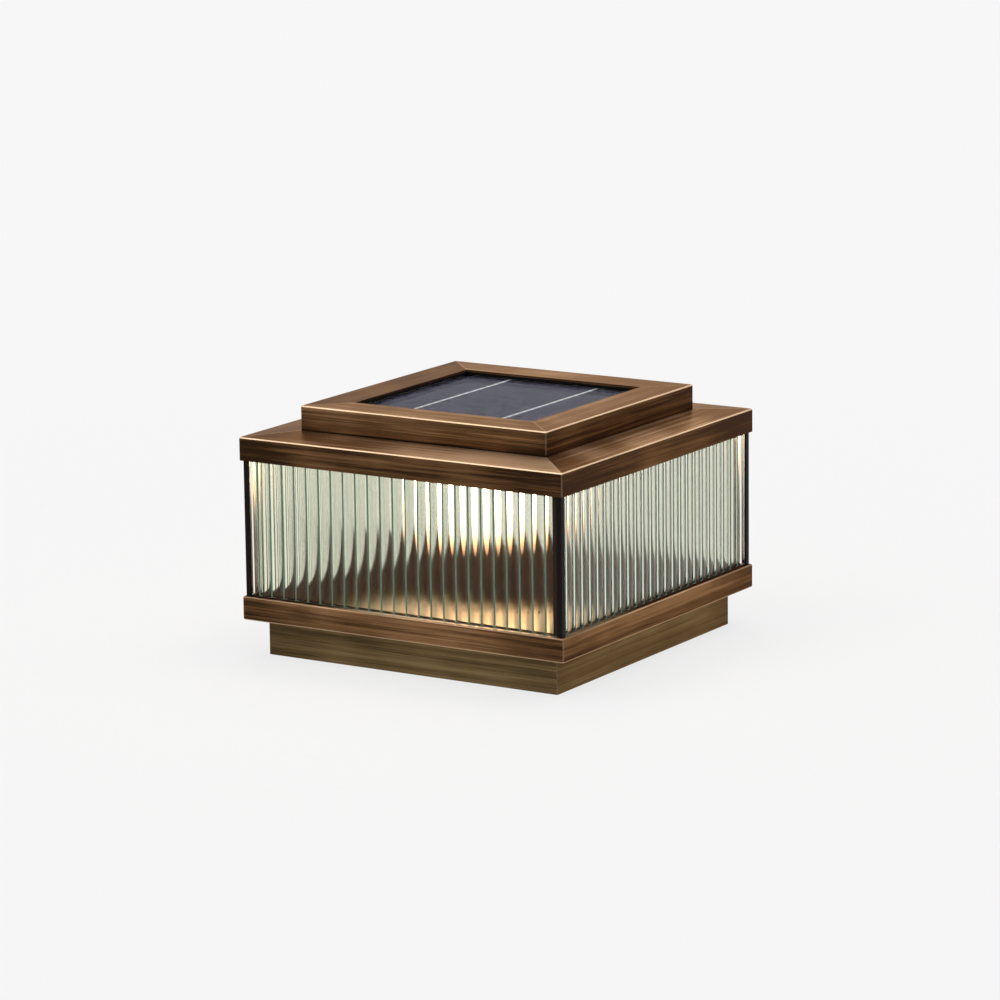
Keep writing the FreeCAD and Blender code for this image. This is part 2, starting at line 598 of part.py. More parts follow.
STANDOFF_RING = f"({FASTENER_ROW} * sqrt(2))"
SHANK_HOLE = "(sizes.screw_shank / 2)"
LAMP_Y = "(-sizes.lamp_place)"
DOME_SCREW_RING = f"({DOME_RING_WALL} + sizes.dome_ring_width / 2)"
BUTTON_HOLE = "(sizes.button_diameter / 2 + sizes.button_gap)"
SWITCH_X = f"({HALF_BOX_IN} - sizes.switch_gap - sizes.switch_width / 2)"
SWITCH_PLACE = (SWITCH_X, f"(-{SWITCH_X})")
DOOR_SCREW = f"({SLOT_HALF_LENGTH} + sizes.door_ear / 2)"
DOME_SCREWS = 3


def dome_screw_places(along=ZERO):
    """Places of the screws round a dome whose centre lies at a place along Y."""
    turns = [index * 360 / DOME_SCREWS for index in range(DOME_SCREWS)]
    return [(f"({DOME_SCREW_RING} * cos({turn}))", f"({along} + {DOME_SCREW_RING} * sin({turn}))")
            for turn in turns]


def door_screw_places():
    """Places of the two screws of the battery door."""
    return [(DOOR_SCREW, BATTERY_ROW), (f"(-{DOOR_SCREW})", BATTERY_ROW)]


def make_ceiling():
    """Ceiling pan with its edge folded up inside the roof's band."""
    body = plate("ceiling_plate", HALF_ROOF_IN, Z_CEILING,
                 "(sizes.sheet_wall + sizes.ceiling_flange)")
    cut_square(body, "ceiling_hollow", f"({HALF_ROOF_IN} - sizes.sheet_wall)", Z_FLOOR,
               "sizes.ceiling_flange")
    wall = "sizes.sheet_wall"
    cut_holes(body, "standoff_holes", SHANK_HOLE, four_corners(FASTENER_ROW), Z_CEILING, wall)
    cut_holes(body, "dome_screw_holes", SHANK_HOLE, dome_screw_places(LAMP_Y), Z_CEILING, wall)
    cut_holes(body, "lead_hole", "(sizes.lead_hole / 2)", [(ZERO, LAMP_Y)], Z_CEILING, wall)
    cut_holes(body, "button_hole", BUTTON_HOLE, [SWITCH_PLACE], Z_CEILING, wall)
    cut_holes(body, "door_screw_holes", SHANK_HOLE, door_screw_places(), Z_CEILING, wall)
    sketch = new_sketch(body, "battery_slot_outline", Z_CEILING)
    rectangle(sketch, SLOT_HALF_LENGTH, SLOT_HALF_WIDTH, along=BATTERY_ROW)
    pocket(sketch, wall, "battery_slot")
    frame_piece("head_seal", HALF_POST, f"({HALF_POST} - sizes.head_seal_width)", Z_SEAL,
                "sizes.head_seal")


def make_roof():
    """Roof shell: an upright band, low hips and an opening under the tray."""
    body = plate("roof_shell", HALF_ROOF, Z_BAND, "sizes.band_height")
    fillet(body, "sizes.fold_radius", "roof_folds", fold_edges(HALF_ROOF, Z_EAVES))
    eaves = new_sketch(body, "eaves_outline", Z_EAVES)
    rectangle(eaves, f"({HALF_ROOF} - sizes.fold_radius)")
    crown = new_sketch(body, "crown_outline", Z_ROOF)
    rectangle(crown, HALF_TRAY)
    loft(body, "Additive", eaves, crown, "hips")
    under_eaves = f"({Z_EAVES} - sizes.sheet_wall)"
    cut_square(body, "roof_hollow", HALF_ROOF_IN, Z_BAND,
               "(sizes.band_height - sizes.sheet_wall)")
    inner_eaves = new_sketch(body, "inner_eaves_outline", under_eaves)
    rectangle(inner_eaves, HALF_ROOF_IN)
    inner_crown = new_sketch(body, "inner_crown_outline", f"({Z_ROOF} - sizes.sheet_wall)")
    rectangle(inner_crown, HALF_TRAY)
    loft(body, "Subtractive", inner_eaves, inner_crown, "hips_hollow")
    cut_square(body, "box_opening", HALF_TRAY_FLANGE, under_eaves,
               "(sizes.hip_rise + 2 * sizes.sheet_wall)")
    cut_holes(body, "tray_screw_holes", SHANK_HOLE, four_sides(FASTENER_ROW),
              f"({Z_ROOF} - sizes.sheet_wall)", "sizes.sheet_wall")


def make_tray():
    """Tray round the solar panel, with a flange folded in on the roof."""
    body = plate("panel_tray", HALF_TRAY, Z_ROOF, f"({Z_TRAY_TOP} - {Z_ROOF})")
    fillet(body, "sizes.fold_radius", "tray_folds", fold_edges(HALF_TRAY, Z_TRAY_TOP))
    cut_square(body, "flange_opening", HALF_TRAY_FLANGE, Z_ROOF, "sizes.sheet_wall")
    inside = f"({Z_TRAY_SEAL} + sizes.tray_seal - {Z_ROOF} - sizes.sheet_wall)"
    cut_square(body, "tray_hollow", HALF_TRAY_IN, f"({Z_ROOF} + sizes.sheet_wall)", inside)
    cut_square(body, "tray_opening", HALF_TRAY_OPEN, f"({Z_TRAY_TOP} - sizes.sheet_wall)",
               "sizes.sheet_wall")
    cut_holes(body, "tray_flange_holes", SHANK_HOLE, four_sides(FASTENER_ROW), Z_ROOF,
              "sizes.sheet_wall")


def make_head_fasteners():
    """Standoffs and their screws, and the tray's screws and nuts."""
    under_roof = f"({Z_ROOF} - sizes.sheet_wall)"
    wall = "(sizes.standoff_diameter / 2)"
    standoff = [(SHANK_HOLE, Z_FLOOR), (wall, Z_FLOOR), (wall, under_roof), (SHANK_HOLE, under_roof)]
    turned("standoffs", standoff, STANDOFF_RING, 4, QUARTER_TURN / 2)
    ceiling_tip = f"(({Z_FLOOR} + {under_roof}) / 2)"
    turned("ceiling_screws", screw_profile(Z_CEILING, ceiling_tip), STANDOFF_RING, 4,
           QUARTER_TURN / 2)
    nut_seat = f"({Z_ROOF} + sizes.sheet_wall)"
    nut_top = f"({nut_seat} + sizes.nut_height)"
    turned("tray_screws", screw_profile(under_roof, f"({nut_top} + sizes.screw_proud)"),
           FASTENER_ROW, 4)
    body = new_body("tray_nuts")
    sketch = new_sketch(body, "nut_outline", nut_seat)
    outline(sketch, [(f"({FASTENER_ROW} + {NUT_RADIUS} * cos({turn}))",
                      f"({NUT_RADIUS} * sin({turn}))") for turn in range(0, 360, 60)])
    circle(sketch, SHANK_HOLE, FASTENER_ROW)
    nut = pad(sketch, "sizes.nut_height", "nut")
    around(body, nut, 4, "nut_ring")


def make_panel():
    """Solar panel in layers, with the seal between it and the tray."""
    frame_piece("panel_seal", HALF_PANEL, HALF_TRAY_OPEN, Z_TRAY_SEAL, "sizes.tray_seal")
    plate("panel_glass", HALF_PANEL, Z_GLASS, "sizes.panel_glass")
    plate("solar_cells", HALF_CELLS, Z_CELLS, "sizes.cell_thickness")
    plate("panel_back_sheet", HALF_PANEL, Z_PANEL, "sizes.back_sheet")
    ribbons = new_body("busbar_ribbons")
    sketch = new_sketch(ribbons, "ribbons_outline", Z_RIBBONS)
    for side in ("-", "+"):
        rectangle(sketch, "(sizes.ribbon_width / 2)", HALF_CELLS,
                  across=f"(0 {side} sizes.ribbon_spacing / 2)")
    pad(sketch, "sizes.ribbon_thickness", "ribbons")


# --- Head: electronics, battery, lamp and switch ----------------------------------------------

Z_BOX_FLOOR = f"({Z_FLOOR} + sizes.box_wall)"
Z_RIM = f"({Z_PANEL} - sizes.box_rim)"
Z_BOARD = f"({Z_BOX_FLOOR} + sizes.board_pillar)"
Z_BOARD_TOP = f"({Z_BOARD} + sizes.board_thickness)"
BOARD_Y = f"(sizes.board_width / 2 + sizes.board_gap - {HALF_BOX_IN})"


def make_box():
    """Moulded box that stands on the ceiling plate and carries the panel on its rim."""
    body = plate("electronics_box", HALF_BOX, Z_FLOOR, f"({Z_PANEL} - {Z_FLOOR})")
    rim = new_sketch(body, "rim_outline", Z_RIM)
    rectangle(rim, f"({HALF_TRAY_IN} - sizes.box_rim_gap)")
    pad(rim, "sizes.box_rim", "rim")
    cut_square(body, "box_hollow", HALF_BOX_IN, Z_BOX_FLOOR, f"({Z_RIM} - {Z_BOX_FLOOR})")
    cut_square(body, "rim_opening", f"({HALF_PANEL} - sizes.box_ledge)", Z_RIM, "sizes.box_rim")
    notch = new_sketch(body, "holder_notch_outline", Z_RIM)
    rectangle(notch, f"({HOLDER_HALF_LENGTH} + sizes.cell_gap)",
              f"({HOLDER_HALF_WIDTH} + sizes.cell_gap)", along=BATTERY_ROW)
    pocket(notch, "sizes.box_rim", "holder_notch")
    pillars = new_sketch(body, "pillars_outline", Z_BOX_FLOOR)
    for across, along in (("-", "-"), ("+", "-"), ("-", "+"), ("+", "+")):
        circle(pillars, "(sizes.pillar_diameter / 2)",
               f"(0 {across} (sizes.board_length - sizes.pillar_diameter) / 2)",
               f"({BOARD_Y} {along} (sizes.board_width - sizes.pillar_diameter) / 2)")
    pad(pillars, "sizes.board_pillar", "board_pillars")
    cut_holes(body, "box_lead_hole", "(sizes.lead_hole / 2)", [(ZERO, LAMP_Y)], Z_FLOOR,
              "sizes.box_wall")
    cut_holes(body, "box_button_hole", BUTTON_HOLE, [SWITCH_PLACE], Z_FLOOR, "sizes.box_wall")
    cut_holes(body, "box_screw_holes", SHANK_HOLE,
              dome_screw_places(LAMP_Y) + door_screw_places(), Z_FLOOR, "sizes.box_wall")
    slot = new_sketch(body, "holder_slot_outline", Z_FLOOR)
    rectangle(slot, HOLDER_HALF_LENGTH, HOLDER_HALF_WIDTH, along=BATTERY_ROW)
    pocket(slot, "sizes.box_wall", "holder_slot")


def make_battery():
    """Cradle open downwards, two cells in line, their contacts and the door below."""
    holder = new_body("battery_holder")
    sketch = new_sketch(holder, "holder_outline", Z_FLOOR)
    rectangle(sketch, HOLDER_HALF_LENGTH, HOLDER_HALF_WIDTH, along=BATTERY_ROW)
    pad(sketch, f"({Z_HOLDER_TOP} - {Z_FLOOR})", "holder_block")
    sketch = new_sketch(holder, "holder_hollow_outline", Z_FLOOR)
    rectangle(sketch, SLOT_HALF_LENGTH, SLOT_HALF_WIDTH, along=BATTERY_ROW)
    pocket(sketch, f"({Z_HOLDER_TOP} - {Z_FLOOR} - sizes.holder_wall)", "holder_hollow")

    cells = new_body("battery_cells")
    lie_along_x = FreeCAD.Rotation(FreeCAD.Vector(0, 1, 0), QUARTER_TURN)
    cells.Placement = FreeCAD.Placement(FreeCAD.Vector(), lie_along_x)
    cells.setExpression("Placement.Base.y", BATTERY_ROW)
    cells.setExpression("Placement.Base.z", Z_BATTERY)
    start = "(sizes.contact_thickness / 2 + sizes.cell_gap / 2)"
    can = "(sizes.cell_length - sizes.nub_length)"
    for name, near, far in (("first", f"(-{start} - {can})", f"(-{start} - sizes.cell_length)"),
                            ("second", start, f"({start} + {can})")):
        can_sketch = new_sketch(cells, f"{name}_can_outline", near)
        circle(can_sketch, "(sizes.cell_diameter / 2)")
        pad(can_sketch, can, f"{name}_can")
        nub_sketch = new_sketch(cells, f"{name}_nub_outline", far)
        circle(nub_sketch, "(sizes.nub_diameter / 2)")
        pad(nub_sketch, "sizes.nub_length", f"{name}_nub")

    contacts = new_body("battery_contacts")
    sketch = new_sketch(contacts, "contacts_outline", f"({Z_FLOOR} + sizes.cell_gap)")
    end = f"({SLOT_HALF_LENGTH} - sizes.contact_thickness / 2)"
    for across in (f"(-{end})", ZERO, end):
        rectangle(sketch, "(sizes.contact_thickness / 2)", "(sizes.contact_width / 2)",
                  across=across, along=BATTERY_ROW)
    pad(sketch, "sizes.cell_diameter", "contacts")

    door = new_body("battery_door")
    door_bottom = f"({Z_CEILING} - sizes.door_thickness)"
    sketch = new_sketch(door, "door_outline", door_bottom)
    rectangle(sketch, f"({SLOT_HALF_LENGTH} + sizes.door_ear)",
              f"({SLOT_HALF_WIDTH} + sizes.door_lap)", along=BATTERY_ROW)
    pad(sketch, "sizes.door_thickness", "door_sheet")
    cut_holes(door, "door_holes", SHANK_HOLE, door_screw_places(), door_bottom,
              "sizes.door_thickness")
    screws = turned("door_screws", screw_profile(door_bottom, f"({Z_FLOOR} + sizes.screw_shank)"),
                    DOOR_SCREW, 2)
    screws.setExpression("Placement.Base.y", BATTERY_ROW)


def make_board():
    """Controller board on its pillars and the parts soldered to it."""
    board = new_body("controller_board")
    sketch = new_sketch(board, "board_outline", Z_BOARD)
    rectangle(sketch, "(sizes.board_length / 2)", "(sizes.board_width / 2)", along=BOARD_Y)
    pad(sketch, "sizes.board_thickness", "board")
    parts = new_body("board_components")
    for name in ("chip", "coil", "solar_plug", "cell_plug"):
        sketch = new_sketch(parts, f"{name}_outline", Z_BOARD_TOP)
        rectangle(sketch, f"(sizes.{name}_length / 2)", f"(sizes.{name}_width / 2)",
                  across=f"sizes.{name}_across", along=f"({BOARD_Y} + sizes.{name}_along)")
        pad(sketch, f"sizes.{name}_height", name)
    sketch = new_sketch(parts, "capacitor_outline", Z_BOARD_TOP)
    circle(sketch, "(sizes.capacitor_diameter / 2)", "sizes.capacitor_across",
           f"({BOARD_Y} + sizes.capacitor_along)")
    pad(sketch, "sizes.capacitor_height", "capacitor")


def lamp_body(body):
    """Move a piece drawn about the upright axis to the lamp's place."""
    body.setExpression("Placement.Base.y", LAMP_Y)
    return body


def make_lamp():
    """LED board under the ceiling plate inside a frosted dome held by a ring."""
    thickness = "sizes.board_thickness"
    board_bottom = f"({Z_CEILING} - {thickness})"
    board = lamp_body(new_body("led_board"))
    sketch = new_sketch(board, "led_board_outline", board_bottom)
    circle(sketch, f"({HALF_DOME_IN} - sizes.led_board_gap)")
    circle(sketch, "(sizes.wire_hole / 2)")
    pad(sketch, thickness, "led_disc")
    leds = lamp_body(new_body("leds"))
    sketch = new_sketch(leds, "led_outline", f"({board_bottom} - sizes.led_height)")
    rectangle(sketch, "(sizes.led_width / 2)", across="(sizes.led_circle / 2)")
    led = pad(sketch, "sizes.led_height", "led")
    around(leds, led, 6, "led_circle")
    make_dome()
    inner = f"({HALF_DOME} + sizes.dome_gap)"
    pocket_wall = f"({HALF_FLANGE} + sizes.dome_gap)"
    lip = f"({Z_CEILING} - sizes.dome_wall - sizes.dome_ring_wall)"
    foot = f"({Z_CEILING} - sizes.dome_ring_wall)"
    ring = turned("dome_ring", [
        (inner, lip),
        (DOME_RING_WALL, lip),
        (DOME_RING_WALL, foot),
        (DOME_RING_EDGE, foot),
        (DOME_RING_EDGE, Z_CEILING),
        (pocket_wall, Z_CEILING),
        (pocket_wall, f"({Z_CEILING} - sizes.dome_wall)"),
        (inner, f"({Z_CEILING} - sizes.dome_wall)"),
    ])
    lamp_body(ring)
    cut_holes(ring, "dome_ring_holes", SHANK_HOLE, dome_screw_places(), foot,
              "sizes.dome_ring_wall")
    screw_tip = f"({Z_BOX_FLOOR} + sizes.screw_shank / 2)"
    lamp_body(turned("dome_screws", screw_profile(foot, screw_tip), DOME_SCREW_RING, DOME_SCREWS))


def make_dome():
    """Frosted dome: a flange, a straight wall and a round end, all of one thickness."""
    body = lamp_body(new_body("diffuser_dome"))
    sketch = new_sketch(body, "dome_section", role="XZ_Plane")
    outer, inner, flange = HALF_DOME, HALF_DOME_IN, HALF_FLANGE
    shoulder = f"({Z_CEILING} - sizes.dome_wall)"
    centre = f"({Z_CEILING} - sizes.dome_length + {outer})"
    heart = FreeCAD.Vector(0, value(centre), 0)

    def line(low_across, low_along, high_across, high_along):
        low = FreeCAD.Vector(value(low_across), value(low_along), 0)
        high = FreeCAD.Vector(value(high_across), value(high_along), 0)
        return sketch.addGeometry(Part.LineSegment(low, high), False)

    def arc(radius):
        ring = Part.Circle(heart, FreeCAD.Vector(0, 0, 1), value(radius))
        return sketch.addGeometry(Part.ArcOfCircle(ring, -math.pi / 2, 0), False)

    outer_arc = arc(outer)
    outer_wall = line(outer, centre, outer, shoulder)
    flange_low = line(outer, shoulder, flange, shoulder)
    flange_edge = line(flange, shoulder, flange, Z_CEILING)
    flange_top = line(flange, Z_CEILING, inner, Z_CEILING)
    inner_wall = line(inner, Z_CEILING, inner, centre)
    inner_arc = arc(inner)
    bottom = line(ZERO, f"({centre} - {inner})", ZERO, f"({centre} - {outer})")
    loop = ((outer_arc, 2, outer_wall, 1), (outer_wall, 2, flange_low, 1),
            (flange_low, 2, flange_edge, 1), (flange_edge, 2, flange_top, 1),
            (flange_top, 2, inner_wall, 1), (inner_wall, 2, inner_arc, 2),
            (inner_arc, 1, bottom, 1), (bottom, 2, outer_arc, 1))
    for joint in loop:
        sketch.addConstraint(Sketcher.Constraint("Coincident", *joint))
    places = (((outer_wall, 1), outer, centre), ((outer_wall, 2), outer, shoulder),
              ((flange_low, 2), flange, shoulder), ((flange_edge, 2), flange, Z_CEILING),
              ((flange_top, 2), inner, Z_CEILING), ((inner_wall, 2), inner, centre),
              ((outer_arc, 3), ZERO, centre), ((inner_arc, 3), ZERO, centre))
    for point, across, along in places:
        place_point(sketch, point, across, along)
    for end in ((bottom, 1), (bottom, 2)):
        sketch.addConstraint(Sketcher.Constraint("PointOnObject", *end, -2))
    revolution = body.newObject("PartDesign::Revolution", "dome_turn")
    revolution.Profile = sketch
    revolution.ReferenceAxis = (sketch, ["V_Axis"])
    revolution.Angle = 360


def make_switch():
    """Push switch on the box's floor; its button comes through the ceiling plate."""
    housing = new_body("switch_housing")
    sketch = new_sketch(housing, "housing_outline", Z_BOX_FLOOR)
    rectangle(sketch, "(sizes.switch_width / 2)", across=SWITCH_PLACE[0],
              along=SWITCH_PLACE[1])
    pad(sketch, "sizes.switch_height", "housing_block")
    cut_holes(housing, "button_bore", BUTTON_HOLE, [SWITCH_PLACE], Z_BOX_FLOOR, "sizes.button_bore")
    button = new_body("switch_button")
    sketch = new_sketch(button, "button_outline", f"({Z_CEILING} - sizes.button_proud)")
    circle(sketch, "(sizes.button_diameter / 2)", *SWITCH_PLACE)
    stem_top = f"({Z_BOX_FLOOR} + sizes.button_bore - sizes.button_travel - sizes.button_gap)"
    pad(sketch, f"({stem_top} - {Z_CEILING} + sizes.button_proud)", "button_stem")


# --- Build, check and write ---------------------------------------------------------------------


def check_document():
    """Stop if a feature failed, a cut removed nothing or a piece isn't a valid solid."""
    for item in doc.Objects:
        if "Invalid" in item.State or "Error" in item.State:
            raise RuntimeError(f"{item.Name} failed: {item.State}")
        if item.TypeId == "PartDesign::Pocket":
            body = item.getParentGeoFeatureGroup()
            before = item.BaseFeature.Shape.Volume
            if item.Shape.Volume > before - TOUCH:
                raise RuntimeError(f"{item.Name} cuts nothing from {body.Label}")
    for body in pieces():
        if body.Shape.isNull() or not body.Shape.isValid() or not body.Shape.Solids:
            raise RuntimeError(f"{body.Label} isn't a valid solid")


def pieces():
    """All pieces of the lantern."""
    return [item for item in doc.Objects if item.TypeId == "PartDesign::Body"]


make_plinth()
make_deck()
make_lower_fasteners()
make_glazing()
make_ceiling()
make_roof()
make_tray()
make_head_fasteners()
make_panel()
make_box()
make_battery()
make_board()
make_lamp()
make_switch()
doc.recompute()
check_document()

os.makedirs("parts", exist_ok=True)
for piece in pieces():
    piece.Shape.exportStep(f"parts/{piece.Label}.step")
print(f"{len(pieces())} pieces written")
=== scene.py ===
import math

import bmesh
import bpy
from mathutils import Matrix, Vector


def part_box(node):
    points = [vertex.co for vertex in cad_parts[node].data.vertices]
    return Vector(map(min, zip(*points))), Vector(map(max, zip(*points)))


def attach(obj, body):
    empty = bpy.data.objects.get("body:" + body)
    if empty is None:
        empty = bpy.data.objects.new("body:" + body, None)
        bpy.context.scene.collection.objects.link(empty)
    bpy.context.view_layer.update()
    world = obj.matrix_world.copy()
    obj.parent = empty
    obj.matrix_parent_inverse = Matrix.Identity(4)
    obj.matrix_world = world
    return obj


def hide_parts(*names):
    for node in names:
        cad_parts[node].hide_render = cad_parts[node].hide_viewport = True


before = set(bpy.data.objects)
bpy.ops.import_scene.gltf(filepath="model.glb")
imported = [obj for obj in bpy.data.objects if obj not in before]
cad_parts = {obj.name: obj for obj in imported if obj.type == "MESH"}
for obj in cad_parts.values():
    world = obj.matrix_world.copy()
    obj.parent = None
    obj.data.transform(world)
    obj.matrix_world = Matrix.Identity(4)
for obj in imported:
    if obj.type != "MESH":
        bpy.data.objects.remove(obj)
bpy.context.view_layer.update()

MM = 0.001

# The photograph's camera, worked out from 24 corners of the light.
CAMERA_AZIMUTH = 32.12
CAMERA_ELEVATION = 11.93
CAMERA_ROLL = -0.69
CAMERA_DISTANCE = 2.446
CAMERA_FOCAL_PX = 4543.0
PHOTO_SIZE_PX = 1000.0
SENSOR_MM = 36.0
AIM_POINT = Vector((0.0, 0.0, 0.055))
AIM_PX = (500.4, 539.3)

# Reeded panes, as in the CAD model.
FLUTE_PITCH = 7.75 * MM
FLUTE_RADIUS = 6.6 * MM
FLUTE_LAND = 0.1 * MM
FIRST_RIDGE = 6.6 * MM
FLUTE_STEPS = 16
RIDGE_SHARE = 0.86

SHARP_EDGE = math.radians(20)
PANES = ("glass_front", "glass_right", "glass_back", "glass_left")
# The near end of this pane, at the front corner, gets a painted dark reflection.
DARK_END_PANE = "glass_right"

# Ranges of a noise that are mapped to colours and tones: its middle, and nearly all of it.
NOISE_RANGE = (0.3, 0.7)
WIDE_NOISE_RANGE = (0.2, 0.8)

# Bronze: pairs of values that a ramp runs between. Parts of the normal come first.
FACING_RAMP = (0.3, 0.9)  # from askew to square to an axis
FLAT_TO_FOLD = (0.995, 0.88)  # the largest part, from a flat face to a fold
FOLD_TURN = (0.1, 0.45)  # from the middle of a fold to its upper or lower half
DARK_TO_MIDDLE = (0.38, 0.50)  # tones between which the shades blend
MIDDLE_TO_LIGHT = (0.50, 0.64)
# Level faces blend to a paler shade than upright ones: painted light from above.
MIDDLE_TO_PALE = (0.50, 0.72)
STREAKS_TO_WEAR_AND_HIGHLIGHT = (0.15, 0.6)  # fine streaks, from dull to bright with wear and painted highlight
SEAM_MM = (0.45, 0.1)  # distance from a mitre
LEAN_ACROSS_MM = (-100.0, 100.0)
LEAN_SHARES = (-0.5, 1.4)
# Painted shade: the tone falls from a side's middle towards its corners.
CORNER_RUN_MM = (40.0, 100.0)  # distance from a side's middle towards its corners
CORNER_TONES = (0.02, -0.07)
SHADE_ABOVE_FOOT_MM = (0.9, -0.3)  # painted shade at a joint's foot, from none to dark

# Bronze: noises and single values.
FINE_STREAKS = {"stretch": 0.007, "scale": 3.6, "detail": 4.0, "roughness": 0.75}
WIDE_STREAKS = {"stretch": 0.016, "scale": 0.45, "detail": 2.0, "roughness": 0.5}
BRONZE_CLOUD = {"scale": 0.024, "detail": 2.0, "roughness": 0.5}
SIDE_SHIFT_MM = 57.0  # sets the streaks on the +X and -X sides apart from the others
FINE_SHARE = 0.55
LEVEL_CONTRAST = 0.55
CLOUD_TONE = 0.035
# How far the edge of the painted shade at a joint's foot wavers up and down.
SHADE_WAVE_MM = 0.3
# Least wear and painted highlight on a fold, and how much the undersides of folds get.
LEAST_WEAR_AND_HIGHLIGHT = 0.12
UNDERSIDE_WEAR_AND_HIGHLIGHT = 0.5
TRAY_FOOT_MM = 121.4  # 0.6 mm above the tray's lower edge

# The lantern's floor, with a painted pool of lamp light; places in millimetres from its centre.
FLOOR_STREAKS = {"stretch": 0.03, "scale": 1.4, "detail": 3.0, "roughness": 0.6}
FLOOR_CLOUD = {"scale": 0.06, "detail": 3.0, "roughness": 0.6}
PATCH_ALONG = (-38.0, -84.0)  # from dark to bright towards the front
PATCH_CENTRE = 30.0
PATCH_ASIDE = (88.0, 36.0)  # from dark to bright towards the patch's centre
PATCH_RIGHT = (15.0, 85.0)  # where the patch grows deeper, by the next value
PATCH_WIDENING = -26.0
PATCH_WAVE = 6.0
FACES_UP = 0.99  # upward part of the normal of a level face
TOP_TOLERANCE = 0.1 * MM

# Solar cells and ribbons, in millimetres.
CELL_LINE_PITCH = 2.1
SOLDER_SPOT_PITCH = 7.5

# Lamp: heights between which its glow grows, how steeply, and its strengths.
GLOW_HEIGHTS = (40.0, 94.0)
GLOW_POWER = 2.3
GLOW_STRENGTH = 24.0
GLOW_LEAST = 0.15

# Stage and world.
PAPER_WHITE = (0.93, 0.93, 0.93, 1.0)
PAPER_GREY = (0.90, 0.90, 0.90, 1.0)
FLOOR_SIZE = 60.0
SHADOW_REACH_MM = (250.0, 1100.0)
PAPER_SHARE_NEAR = 0.8
WORLD_STRENGTH = 0.5


# --- Shader graphs -------------------------------------------------------------------------------


class Graph:
    """A material or world node tree, built by short calls."""

    def __init__(self, owner):
        owner.use_nodes = True
        self.tree = owner.node_tree
        self.tree.nodes.clear()

    def add(self, kind, inputs=None, **settings):
        """Add a node; inputs maps socket names or numbers to values or other sockets."""
        node = self.tree.nodes.new(kind)
        for name, setting in settings.items():
            setattr(node, name, setting)
        for name, source in (inputs or {}).items():
            self.feed(node.inputs[name], source)
        return node

    def feed(self, socket, source):
        """Set a socket to a value, or link it to another socket."""
        if isinstance(source, bpy.types.NodeSocket):
            self.tree.links.new(source, socket)
        else:
            socket.default_value = source

    def math(self, operation, first, second=0.0, clamp=False):
        """One arithmetic step."""
        node = self.add("ShaderNodeMath", {0: first, 1: second}, operation=operation)
        node.use_clamp = clamp
        return node.outputs[0]

    def blend(self, factor, first, second, mode="MIX"):
        """Mix two colours."""
        node = self.add("ShaderNodeMix", data_type="RGBA", blend_type=mode)
        self.feed(node.inputs[0], factor)
        self.feed(node.inputs[6], first)
        self.feed(node.inputs[7], second)
        return node.outputs[2]

    def ramp(self, source, low, high, to_low=0.0, to_high=1.0):
        """Map a range smoothly to another."""
        node = self.add("ShaderNodeMapRange",
                        {0: source, 1: low, 2: high, 3: to_low, 4: to_high},
                        interpolation_type="SMOOTHSTEP")
        return node.outputs[0]

    def noise(self, vector, scale, detail=3.0, roughness=0.55):
        """Fractal noise from 0 to 1."""
        node = self.add("ShaderNodeTexNoise", {"Vector": vector, "Scale": scale,
                                               "Detail": detail, "Roughness": roughness})
        return node.outputs[0]

    def streaks(self, run, step, height, stretch, **look):
        """Noise drawn out along a run."""
        return self.noise(self.join(self.math("MULTIPLY", run, stretch), step, height), **look)

    def split(self, vector):
        """The three parts of a vector."""
        return self.add("ShaderNodeSeparateXYZ", {0: vector}).outputs

    def join(self, across, along, height):
        """A vector from three parts."""
        return self.add("ShaderNodeCombineXYZ", {0: across, 1: along, 2: height}).outputs[0]

    def place(self):
        """The point on the object in millimetres, which moves with the object."""
        point = self.add("ShaderNodeTexCoord").outputs["Object"]
        scaled = self.add("ShaderNodeVectorMath", {0: point, 1: (1000.0, 1000.0, 1000.0)},
                          operation="MULTIPLY")
        return scaled.outputs[0]

    def facing(self):
        """The three parts of the surface normal in the object's own axes."""
        return self.split(self.add("ShaderNodeTexCoord").outputs["Normal"])

    def bump(self, height, strength, distance_mm):
        """A normal roughened by a height from 0 to 1."""
        node = self.add("ShaderNodeBump", {"Height": height, "Strength": strength,
                                           "Distance": distance_mm * MM})
        return node.outputs[0]

    def surface(self, **inputs):
        """A Principled surface; underscores in names stand for spaces."""
        named = {name.replace("_", " "): source for name, source in inputs.items()}
        return self.add("ShaderNodeBsdfPrincipled", named)

    def finish(self, shader):
        """Send a shader to the output."""
        output = self.add("ShaderNodeOutputMaterial")
        self.tree.links.new(shader.outputs[0], output.inputs[0])


def new_graph(name):
    """A fresh material and its graph."""
    material = bpy.data.materials.new(name)
    return material, Graph(material)


def dress_floor(material):
    """Give the top of the deck a material of its own."""
    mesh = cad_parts["deck"].data
    mesh.materials.append(material)
    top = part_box("deck")[1].z
    for face in mesh.polygons:
        if face.normal.z > FACES_UP and abs(face.center.z - top) < TOP_TOLERANCE:
            face.material_index = len(mesh.materials) - 1


def dress(material, *nodes):
    """Give CAD nodes a material."""
    for node in nodes:
        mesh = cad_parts[node].data
        mesh.materials.clear()
        mesh.materials.append(material)


# --- Materials -----------------------------------------------------------------------------------


def brushed_place(graph):
    """Coordinates that run along each of the four sides, and the distance to the mitres."""
    across, along, height = graph.split(graph.place())
    across_size = graph.math("ABSOLUTE", across)
    along_size = graph.math("ABSOLUTE", along)
    on_x_side = graph.math("GREATER_THAN", across_size, along_size)
    swap = graph.math("SUBTRACT", along, across)
    run = graph.math("ADD", graph.math("MULTIPLY", on_x_side, swap), across)
    swap = graph.math("SUBTRACT", across, along)
    step = graph.math("ADD", graph.math("MULTIPLY", on_x_side, swap), along)
    apart = graph.math("MULTIPLY", on_x_side, SIDE_SHIFT_MM)
    mitre = graph.math("ABSOLUTE", graph.math("SUBTRACT", across_size, along_size))
    return run, graph.math("ADD", step, apart), height, mitre


